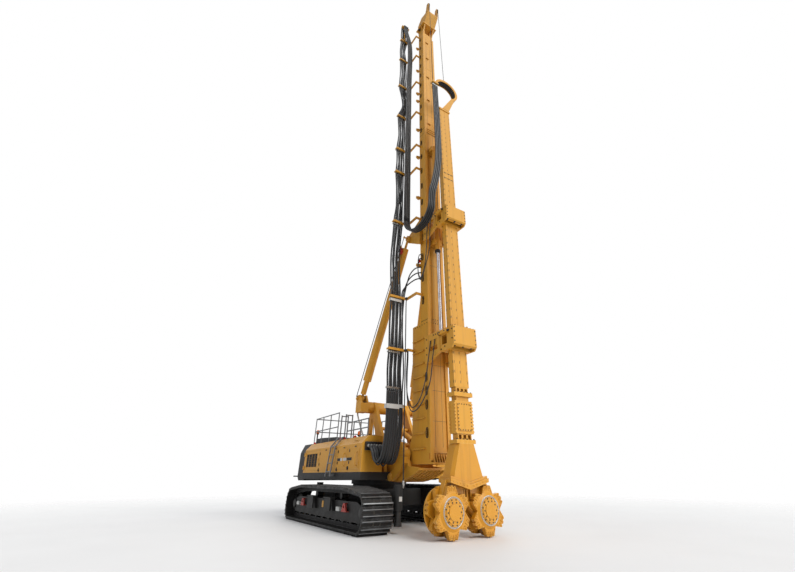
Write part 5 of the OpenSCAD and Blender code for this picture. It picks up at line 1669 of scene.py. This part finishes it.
@dataclass
class ClampTrim(Assembly):
    """Bolts, cylinder ends and covers of the sledge and the upper guide, and the feed rod's collar."""

    front: float = 5.6
    half: float = 0.5
    arm_half: float = 0.52
    height: float = 0.74
    cylinder_z: float = 0.61
    cylinder_y: float = 0.545
    side_bolts: Pairs = ((4.9, 0.06), (4.9, 0.66), (5.1, 0.12), (5.36, 0.62), (5.52, 0.3), (5.52, 0.62))
    arm_bolts: Pairs = ((4.06, 0.06), (4.06, 0.3), (4.06, 0.6), (4.5, 0.66), (4.62, 0.66))
    side_bolt: Pair = (0.02, 0.022)
    roller: Profile = ((0, 0.072), (0.01, 0.078), (0.08, 0.078), (0.09, 0.072))
    sledge_z: float = 5.0
    guide_z: float = 10.18
    feed_x: float = 4.25
    collar_z: float = 9.38
    collar: Profile = ((0, 0.112), (0.02, 0.12), (0.1, 0.12), (0.12, 0.11))

    def one(self, z: float, name: str, body: Body) -> None:
        """Dresses one clamp frame.

        Args:
            z: the height of its foot.
            name: what its pieces' names begin with.
            body: the body that carries it.
        """
        bolts, steel = MeshDraft(), MeshDraft()
        top = z + self.height
        for y in (-0.46, 0.46):
            for k in range(4):
                bolts.bolt((self.front, y, z + 0.2 + k * 0.155), FRONT, 0.018, 0.02)
        for k in range(7):
            bolts.bolt((self.front - 0.03, -0.42 + 0.14 * k, top), UP, 0.016, 0.02)
        for side in SIDES:
            for x, h in self.side_bolts:
                bolts.bolt((x, side * self.half, z + h), (0, side, 0), *self.side_bolt)
            for x, h in self.arm_bolts:
                bolts.bolt((x, side * self.arm_half, z + h), (0, side, 0), *self.side_bolt)
            y, axis = side * self.cylinder_y, z + self.cylinder_z
            steel.rod((4.83, y, axis), (4.88, y, axis), 0.066, 18)
            steel.rod((5.318, y, axis), (5.35, y, axis), 0.04, 14)
            steel.rod((4.95, side * 0.6, axis), (4.95, side * 0.625, axis), 0.022, 10)
            steel.rod((5.22, side * 0.6, axis), (5.22, side * 0.62, axis), 0.022, 10)
        for y in (-0.36, 0.0, 0.36):
            steel.lathe((5.43, y - 0.045, z + 0.15), (0, 1, 0), self.roller, 24)
        self.ride(bolts, f"{name}_bolts", BOLT, body)
        self.ride(steel, f"{name}_cylinders", STEEL, body)
        cover = MeshDraft()
        cover.box((5.3, -0.44, top), (5.52, -0.08, top + 0.02), 0.006)
        cover.box((5.3, 0.08, top), (5.52, 0.44, top + 0.02), 0.006)
        for y in (-0.26, 0.26):
            grip = [(5.36, y, top), (5.36, y, top + 0.09), (5.46, y, top + 0.09), (5.46, y, top)]
            cover.tube(smooth(grip, 0.02), 0.012, 8)
        self.ride(cover, f"{name}_covers", YELLOW, body)

    def build(self) -> None:
        """Dresses both clamp frames and the feed rod's collar."""
        self.one(self.sledge_z, "sledge", Body.SLEDGE)
        self.one(self.guide_z, "guide", Body.MAST)
        collar = MeshDraft()
        collar.lathe((self.feed_x, 0, self.collar_z), UP, self.collar, 28)
        for a in angles(8):
            at = (self.feed_x + 0.1 * cos(a), 0.1 * sin(a), self.collar_z)
            collar.bolt(at, DOWN, 0.012, 0.014)
        self.ride(collar, "feed_collar", STEEL, Body.MAST)


@dataclass
class HouseTrim(Assembly):
    """Blank stripes, latches, lamps, screens, handles and roof fittings of the machinery house."""

    wall: float = -1.8
    panel: float = -1.812
    roof: float = 2.62
    panels: Pairs = ((0.03, 0.79), (1.03, 1.79))
    stripe_z: Pair = (1.885, 1.975)
    latches: Pairs = ((-1.83, 1.625), (-0.92, 1.625), (-0.02, 1.625), (0.93, 1.66))
    lamp_x: Row = (-3.45, -0.56, -0.2, 0.72)
    lamp: Profile = ((0, 0.055), (0.03, 0.055), (0.06, 0.045), (0.08, 0.02))
    door_x: float = -3.56
    opening_pitch: float = 0.33
    opening_wide: float = 0.25
    sticks: tuple[tuple[Triple, float], ...] = (((-3.78, -1.3, 2.64), 0.42), ((0.44, -1.2, 2.62), 0.09))
    stick_head: Profile = ((0, 0.05), (0.012, 0.068), (0.045, 0.068))
    eyes: Pairs = ((-1.05, -1.25), (-1.05, 1.25), (-0.45, 0.9), (1.2, -1.15))
    eye_r: float = 0.045
    stack: Profile = ((0, 0.11), (0.02, 0.11), (0.02, 0.075), (0.30, 0.075), (0.34, 0.085), (0.38, 0.075))

    def stripe(self, draft: MeshDraft, low: float, high: float) -> None:
        """Adds one thin stripe that follows the wall and its raised panels.

        Args:
            draft: the mesh it goes into.
            low: where it begins along the rig.
            high: where it ends.
        """
        foot, head = self.stripe_z
        cuts = sorted({low, high, *[c for pair in self.panels for c in pair if low < c < high]})
        for a, b in zip(cuts, cuts[1:]):
            raised = any(start < (a + b) / 2 < end for start, end in self.panels)
            y = self.panel if raised else self.wall
            draft.box((a, y - 0.003, foot), (b, y + 0.001, head))

    def build(self) -> None:
        """Adds the house's trim."""
        dark, pale = MeshDraft(), MeshDraft()
        self.stripe(dark, -0.02, 0.27)
        self.stripe(dark, 0.80, 1.24)
        self.stripe(pale, 0.27, 0.80)
        self.ride(dark, "stripe_dark", BLACK, Body.UPPER)
        self.ride(pale, "stripe_pale", WHITE, Body.UPPER)
        self.wall_parts()
        lamps = MeshDraft()
        for x in self.lamp_x:
            lamps.lathe((x, -1.5, self.roof), UP, self.lamp, 16)
        self.ride(lamps, "roof_red_lamps", RUBY, Body.UPPER)
        rear = MeshDraft()
        for y in (-1.3, 1.3):
            rear.box((-4.915, y - 0.16, 2.0), (-4.9, y + 0.16, 2.1), 0.01)
        self.ride(rear, "rear_lamps", RUBY, Body.UPPER)
        self.door_parts()
        sticks = MeshDraft()
        for (x, y, z), tall in self.sticks:
            neck = tall - 0.012
            sticks.lathe((x, y, z), UP, [(0, 0.05), (0.015, 0.05), (0.015, 0.028), (neck, 0.028)], 16)
            sticks.lathe((x, y, z + tall - 0.012), UP, self.stick_head, 20)
        self.ride(sticks, "beacon_sticks", BLACK, Body.UPPER)
        self.roof_parts()

    def wall_parts(self) -> None:
        """Adds the latches, handles and hinges of the right wall."""
        latches = MeshDraft()
        wall, panel = self.wall, self.panel
        for x, z in self.latches:
            latches.lathe((x, wall, z), (0, -1, 0), [(0, 0.062), (0.012, 0.06), (0.02, 0.05)], 20)
            latches.box((x - 0.012, wall - 0.034, z - 0.035), (x + 0.012, wall - 0.018, z + 0.035), 0.004)
        for x in (-1.2, -0.2, 0.55, 1.5):
            latches.box((x - 0.05, panel - 0.02, 2.28), (x + 0.05, panel + 0.001, 2.31), 0.006)
        self.ride(latches, "house_latches", BLACK, Body.UPPER)
        handles = MeshDraft()
        for x in (1.66, 0.66):
            bar = [(x, panel, 1.72), (x, panel - 0.06, 1.74), (x, panel - 0.06, 2.1), (x, panel, 2.12)]
            handles.tube(smooth(bar, 0.03), 0.014, 8)
        self.ride(handles, "house_handles", YELLOW, Body.UPPER)
        hinges = MeshDraft()
        for x in (-1.77, 0.06, 1.06):
            for z in (1.78, 2.14):
                hinges.rod((x - 0.02, panel - 0.012, z), (x - 0.02, panel - 0.012, z + 0.09), 0.014, 10)
        self.ride(hinges, "panel_hinges", STEEL, Body.UPPER)

    def door_parts(self) -> None:
        """Adds the screens in the grille door's openings and the posts between them, the posts in painted
        shade.
        """
        screen, wall, wide = MeshDraft(), self.wall, self.opening_wide
        for k in range(4):
            x0 = self.door_x + 0.18 + self.opening_pitch * k
            for j in range(1, 8):
                x = x0 + wide * j / 8
                screen.box((x - 0.005, wall + 0.001, 1.735), (x + 0.005, wall + 0.006, 2.215))
            screen.box((x0 - 0.001, wall + 0.006, 1.73), (x0 + wide + 0.001, wall + 0.01, 2.22))
        self.ride(screen, "door_screens", BLACK, Body.DOOR)
        posts = MeshDraft()
        for k in range(3):
            x0 = self.door_x + 0.43 + self.opening_pitch * k
            posts.box((x0 + 0.006, wall - 0.004, 1.735), (x0 + 0.074, wall + 0.001, 2.215), 0.003)
        self.ride(posts, "door_posts", SHADED_AMBER, Body.DOOR)

    def roof_parts(self) -> None:
        """Adds the roof's mesh, lifting eyes and exhaust stub."""
        mesh = MeshDraft()
        for k in range(26):
            y = -1.25 + 0.1 * k
            mesh.tube([Vector((-3.46, y, 2.852)), Vector((-1.5, y, 2.775))], 0.006, 6)
        self.ride(mesh, "cooler_mesh", STEEL, Body.UPPER)
        eyes = MeshDraft()
        for x, y in self.eyes:
            eyes.lathe((x, y, self.roof), UP, [(0, 0.05), (0.02, 0.05)], 16)
            ring = []
            for k in range(17):
                a = 2 * pi * k / 16
                rise = 0.055 + self.eye_r * sin(a)
                ring.append(Vector((x + self.eye_r * cos(a), y, self.roof + rise)))
            eyes.tube(ring, 0.012, 6)
        self.ride(eyes, "roof_lifting_eyes", BOLT, Body.UPPER)
        stack = MeshDraft()
        stack.lathe((-0.75, 0.75, self.roof), UP, self.stack, 20)
        self.ride(stack, "exhaust_stub", STEEL, Body.UPPER)


@dataclass
class CabTrim(Assembly):
    """Seal frames, wiper, mirror, grips, lamps and the seat of the cab."""

    floor: float = 1.42
    middle: float = 1.48
    seal_r: float = 0.014
    seals: tuple[Route, ...] = (
        ((0.70, 0.975, 2.16), (1.79, 0.975, 2.16), (1.79, 0.975, 2.90), (0.70, 0.975, 2.90)),
        ((0.555, 1.14, 2.26), (0.555, 1.82, 2.26), (0.555, 1.82, 2.86), (0.555, 1.14, 2.86)),
    )
    door_seal: Route = ((1.07, 1.984, 1.98), (1.77, 1.984, 1.98), (1.77, 1.984, 2.84), (1.07, 1.984, 2.84))
    door_grip: Route = ((1.74, 1.98, 1.72), (1.74, 2.03, 1.74), (1.74, 2.03, 1.9), (1.74, 1.98, 1.92))
    mirror_arm: Route = ((2.0, 1.985, 2.5), (2.14, 2.06, 2.6), (2.18, 2.12, 2.72))
    corner_grip: Route = ((2.06, 1.985, 1.6), (2.08, 2.03, 1.62), (2.08, 2.03, 2.2), (2.06, 1.985, 2.24))
    lever: Profile = ((0, 0.012), (0.1, 0.012), (0.12, 0.028), (0.18, 0.024))
    fill: float = 0.8

    def build(self) -> None:
        """Adds the cab's trim and its seat."""
        seal = MeshDraft()
        for corners in self.seals:
            seal.frame(corners, self.seal_r)
        self.ride(seal, "cab_seals", BLACK, Body.UPPER)
        door = MeshDraft()
        door.frame(self.door_seal, self.seal_r)
        door.tube(smooth(self.door_grip, 0.03), 0.012, 8)
        self.ride(door, "cab_door_seal_and_grip", BLACK, Body.CAB_DOOR)
        outside = MeshDraft()
        outside.rod((2.125, 1.36, 2.0), (2.125, 1.56, 2.26), 0.01, 8)
        outside.rod((2.13, 1.5, 2.1), (2.13, 1.72, 2.24), 0.008, 8)
        outside.tube(smooth(self.mirror_arm, 0.05), 0.014, 8)
        outside.box((2.15, 2.06, 2.7), (2.19, 2.2, 2.98), 0.012)
        outside.tube(smooth(self.corner_grip, 0.05), 0.016, 8)
        self.ride(outside, "cab_wiper_mirror_grip", BLACK, Body.UPPER)
        guard = MeshDraft()
        for k in range(7):
            y = 1.12 + 0.12 * k
            guard.rod((1.92, y, 3.062), (0.9, y, 3.075), 0.01, 8)
        for x in (0.92, 1.4, 1.9):
            guard.rod((x, 1.1, 3.072), (x, 1.86, 3.072), 0.014, 8)
        self.ride(guard, "cab_roof_guard", BLACK, Body.UPPER)
        lamps = MeshDraft()
        for y in (1.1, 1.86):
            lamps.box((1.80, y - 0.07, 3.06), (1.87, y + 0.07, 3.17), 0.012)
        self.ride(lamps, "cab_work_lamps", WHITE, Body.UPPER)
        trim = MeshDraft()
        trim.box((0.62, 0.974, 3.0), (1.86, 0.981, 3.03), 0.002)
        trim.box((0.62, 1.979, 3.0), (1.86, 1.986, 3.03), 0.002)
        self.ride(trim, "cab_red_trim", RED, Body.UPPER)
        self.seat()

    def seat(self) -> None:
        """Builds the seat: padded cushion and back on a pedestal, and two control boxes."""
        stand, middle, floor = MeshDraft(), self.middle, self.floor
        stand.box((0.94, middle - 0.15, floor), (1.24, middle + 0.15, floor + 0.30), 0.02)
        for side in SIDES:
            y = middle + side * 0.34
            stand.box((1.0, y - 0.06, floor + 0.3), (1.42, y + 0.06, floor + 0.52), 0.03)
            stand.lathe((1.36, y, floor + 0.52), UP, self.lever, 12)
        self.ride(stand, "seat_stand_and_consoles", BLACK, Body.UPPER)
        cushion = self.pad((0.86, middle - 0.25, floor + 0.30), (1.36, middle + 0.25, floor + 0.43), 0.0)
        back = self.pad((0.80, middle - 0.24, floor + 0.43), (0.93, middle + 0.24, floor + 1.08), -0.12)
        for draft, name in ((cushion, "seat_cushion"), (back, "seat_back")):
            piece = self.shop.make(draft, name, FABRIC)
            for face in piece.data.polygons:
                face.use_smooth = True
            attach(piece, Body.UPPER.value)
            if name == "seat_cushion":
                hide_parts("cab_seat")

    @staticmethod
    def pad(low: Point, high: Point, lean: float) -> MeshDraft:
        """Drafts a crowned pad with pulled-in sides and sewn channels.

        Args:
            low: lowest corner of its block.
            high: highest corner of its block.
            lean: how far its top leans backward.

        Returns:
            The draft.
        """
        a, b = Vector(low), Vector(high)
        middle, half = (a + b) / 2, (b - a) / 2
        thin = min(range(3), key=lambda i: half[i])
        first, second = [i for i in range(3) if i != thin]
        draft = MeshDraft()
        made = bmesh.ops.create_cube(draft.bm, size=2.0)["verts"]
        edges = list(dict.fromkeys(e for v in made for e in v.link_edges))
        bmesh.ops.subdivide_edges(draft.bm, edges=edges, cuts=13, use_grid_fill=True)
        for v in draft.bm.verts:
            u = v.co.copy()
            crown = 0.72 + 0.28 * (1 - u[first] ** 4) * (1 - u[second] ** 4)
            channel = 0.07 * max(0.0, cos(u[second] * 3.0 * pi)) ** 8
            q = Vector((0, 0, 0))
            q[first] = u[first] * (1 - 0.035 * (1 - u[second] ** 2))
            q[second] = u[second] * (1 - 0.035 * (1 - u[first] ** 2))
            q[thin] = u[thin] * (crown - channel)
            v.co = Vector([middle[i] + q[i] * half[i] for i in range(3)])
            v.co.x += lean * (v.co.z - a.z) / max(b.z - a.z, 1e-6)
        return draft


@dataclass
class TrackTrim(Assembly):
    """Shoe bolts, worn shoe edges, wheel covers, steps and blank plates of the undercarriage."""

    gauge: float = 3.8
    length: float = 7.0
    height: float = 1.15
    rise: float = 0.09
    shoe_t: float = 0.04
    shoes: int = 57
    radii: Row = (0.31, 0.31, 1.6, 1.6, 0.31, 0.31)
    arc_steps: int = 40
    ground_gap: float = 0.12
    bolt_shift: float = -0.06
    crest_shifts: Pair = (-0.34, 0.22)
    crest_step: float = 0.012
    edge_half: float = 0.011
    edge_wide: float = 0.97
    cover_x: float = 2.985
    cover_y: float = 2.162
    cover_z: float = 0.515
    cover_bolt_r: float = 0.125
    cover: Profile = ((0, 0.15), (0.03, 0.15), (0.05, 0.12), (0.07, 0.05))
    frame_y: float = 2.16
    jack_x: float = 3.386

    def loop(self) -> list[tuple[Vector, Vector]]:
        """Gives the closed line that the shoes follow.

        Returns:
            Pairs of place and outward way, the last pair the same as the first.
        """
        half = self.length / 2 - self.rise
        top, shoulder, inner = self.height - self.rise, 0.8 * self.height, 0.56 * half
        front = [(half, self.rise), (half, shoulder), (inner, top)]
        points = [Vector(c) for c in front + [(-x, z) for x, z in reversed(front)]]
        line: list[tuple[Vector, Vector]] = []
        for i, p in enumerate(points):
            a = (points[i - 1] - p).normalized()
            b = (points[(i + 1) % len(points)] - p).normalized()
            opening = acos(max(-1.0, min(1.0, a.dot(b)))) / 2
            centre = p + (a + b).normalized() * self.radii[i] / sin(opening)
            start = p + a * self.radii[i] / tan(opening) - centre
            sweep = pi - 2 * opening
            for k in range(self.arc_steps + 1):
                way = Matrix.Rotation(sweep * k / self.arc_steps, 2) @ start.normalized()
                line.append((centre + way * self.radii[i], way))
        line.append(line[0])
        return line

    def path(self, shift: float) -> list[tuple[Vector, Vector]]:
        """Gives one place on each shoe, on the shoe line, and the way outward there.

        Args:
            shift: how far the place is from the shoe's middle, as a share of the pitch.

        Returns:
            Pairs of place and outward way.
        """
        line = self.loop()
        pitch = sum((b[0] - a[0]).length for a, b in zip(line, line[1:])) / self.shoes
        shoes, gone, index = [], 0.0, 0
        for k in range(self.shoes):
            goal = (k + 0.5 + shift) * pitch
            while gone + (line[index + 1][0] - line[index][0]).length < goal:
                gone += (line[index + 1][0] - line[index][0]).length
                index += 1
            a, b = line[index], line[index + 1]
            share = (goal - gone) / max((b[0] - a[0]).length, 1e-9)
            shoes.append((a[0].lerp(b[0], share), a[1].lerp(b[1], share).normalized()))
        return shoes

    def edge(self, draft: MeshDraft, crest: Vector, way: Vector, middle: float) -> None:
        """Adds the bright worn strip on one shoe's crest.

        Args:
            draft: the mesh it goes into.
            crest: the crest's place along and above the track.
            way: the way outward there.
            middle: the track's middle across the rig.
        """
        along = Vector((-way.y, way.x)) * self.edge_half
        low, high = crest - way * 0.006, crest + way * 0.002
        near = middle - self.edge_wide / 2
        outline = [(p.x, near, p.y) for p in (low - along, low + along, high + along, high - along)]
        draft.plate(outline, (0, self.edge_wide, 0))

    def build(self) -> None:
        """Adds the undercarriage's small parts."""
        self.shoe_parts()
        covers = MeshDraft()
        for side in SIDES:
            y, z = side * self.cover_y, self.cover_z
            for x in (-self.cover_x, self.cover_x):
                covers.lathe((x, y - side * 0.002, z), (0, side, 0), self.cover, 24)
                for a in angles(8):
                    along, rise = self.cover_bolt_r * cos(a), self.cover_bolt_r * sin(a)
                    covers.bolt((x + along, y + side * 0.026, z + rise), (0, side, 0), 0.012, 0.014)
        self.ride(covers, "wheel_covers", STEEL, Body.UNDER)
        steps, plate, tags = MeshDraft(), MeshDraft(), MeshDraft()
        for side in SIDES:
            y = side * self.frame_y
            low, high = in_order(y, y + side * 0.1)
            for x in (-2.42, 1.42):
                steps.box((x - 0.13, low, 0.49), (x + 0.13, high, 0.60), 0.01)
            low, high = in_order(y, y + side * 0.012)
            plate.box((-0.13, low, 0.52), (0.01, high, 0.70), 0.003)
        for x in (self.jack_x, -self.jack_x):
            for y in (-1.1, 1.1):
                tags.box((x - 0.03, y - 0.05, 0.78), (x + 0.012, y + 0.05, 0.9), 0.004)
        self.ride(steps, "frame_steps", WHITE, Body.UNDER)
        self.ride(plate, "frame_blank_plate", YELLOW, Body.UNDER)
        self.ride(tags, "jack_blank_plates", WHITE, Body.UNDER)

    def shoe_parts(self) -> None:
        """Adds the bolts and the worn edges of both tracks' shoes, where they are off the ground."""
        shoes = self.path(self.bolt_shift)
        first, second = self.crest_shifts
        crests = ((self.path(first), self.rise), (self.path(second), self.rise - self.crest_step))
        for side, name in zip(SIDES, ("right", "left")):
            bolts = MeshDraft()
            for place, way in shoes:
                if place.y < self.ground_gap:
                    continue
                base = place + way * (self.shoe_t - 0.002)
                along = Vector((-way.y, way.x))
                for y in (-0.11, 0.11):
                    for shift in (-0.02, 0.025):
                        spot = base + along * shift
                        at = (spot.x, side * self.gauge / 2 + y, spot.y)
                        bolts.bolt(at, (way.x, 0, way.y), 0.014, 0.014)
            self.ride(bolts, f"shoe_bolts_{name}", BOLT, Body.UNDER)
            edges = MeshDraft()
            for line, crest in crests:
                for place, way in line:
                    if place.y > self.ground_gap:
                        self.edge(edges, place + way * crest, way, side * self.gauge / 2)
            self.ride(edges, f"shoe_edges_{name}", WORN, Body.UNDER)


@dataclass
class BoomTrim(Assembly):
    """Pin caps with bolts, and the bright rods of the boom's cylinders."""

    pins: tuple[tuple[Triple, float], ...] = (
        ((2.75, 0.64, 2.06), 0.13), ((2.08, 0.76, 1.39), 0.09), ((1.29, 0.76, 2.33), 0.1),
    )
    rod_low: Triple = (2.35, 0.25, 2.33)
    rod_high: Triple = (1.0, 0.25, 2.95)
    rod_span: Pair = (0.09, 0.515)
    rod_r: float = 0.0562

    def cap(self, draft: MeshDraft, at: Point, side: int, radius: float) -> None:
        """Adds a bolted cap on the end of a crosswise pin.

        Args:
            draft: the mesh it goes into.
            at: the middle of the pin's end.
            side: -1 on the right side, 1 on the left one.
            radius: the cap's radius.
        """
        place = Vector(at)
        draft.lathe(place, (0, side, 0), [(0, radius), (0.018, radius), (0.026, radius * 0.9)], 24)
        for a in angles(6):
            spot = place + Vector((radius * 0.7 * cos(a), side * 0.024, radius * 0.7 * sin(a)))
            draft.bolt(spot, (0, side, 0), radius * 0.13, 0.014)

    def build(self) -> None:
        """Adds the caps and the rods."""
        caps, rods = MeshDraft(), MeshDraft()
        first, last = self.rod_span
        for side in SIDES:
            for (x, y, z), radius in self.pins:
                self.cap(caps, (x, side * y, z), side, radius)
            low, high = (Vector((x, side * y, z)) for x, y, z in (self.rod_low, self.rod_high))
            way = (high - low).normalized()
            rods.rod(low + way * first, low + way * last, self.rod_r, 20)
        self.ride(caps, "boom_pin_caps", YELLOW, Body.UPPER)
        self.ride(rods, "boom_cylinder_rods", CHROME, Body.UPPER)


class Dresser:
    """Gives each solid of the frame its finish."""

    special: dict[str, Finish] = {
        "cutter_wheel_right": CUTTER, "cutter_wheel_left": CUTTER, "cutter_frame": CUTTER,
        "stay_rod_right": YELLOW, "stay_rod_left": YELLOW, "roof_rails": RAIL, "ladder": RAIL,
    }
    by_slot: dict[str, Finish] = {
        finish.slot.value: finish
        for finish in (YELLOW, BLACK, STEEL, TRACK, CAST, RED, RUBBER, GLASS, FABRIC, ORANGE, CHROME)
    }

    def dress(self, frame: dict, palette: Palette) -> None:
        """Puts a finish on every solid.

        Args:
            palette: the materials.
        """
        slots = {part["node"]: part["material_slot"] for part in frame["record"]["subparts"]}
        for name, solid in frame["nodes"].items():
            finish = self.special.get(name) or self.by_slot[slots[name]]
            material = palette.get(finish)
            if not solid.material_slots:
                solid.data.materials.append(material)
            for place in solid.material_slots:
                place.material = material
            log.info("%s wears %s", name, finish.name)


def main() -> None:
    """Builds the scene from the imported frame."""
    logging.basicConfig(level=logging.INFO, format="%(name)s %(message)s")
    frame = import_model()
    Studio().build()
    palette = Palette()
    shop = Workshop(palette)
    kinds = (
        HoseSwag, HoseLoop, MastBundle, ClampHoses, Ropes, BarTrim, CutterTrim, MastTrim, ClampTrim,
        HouseTrim, CabTrim, TrackTrim, BoomTrim,
    )
    for kind in kinds:
        kind(shop).build()
        log.info("%s is in place", kind.__name__)
    Dresser().dress(frame, palette)
    log.info("%d pieces", shop.count)


if __name__ == "__main__":
    main()
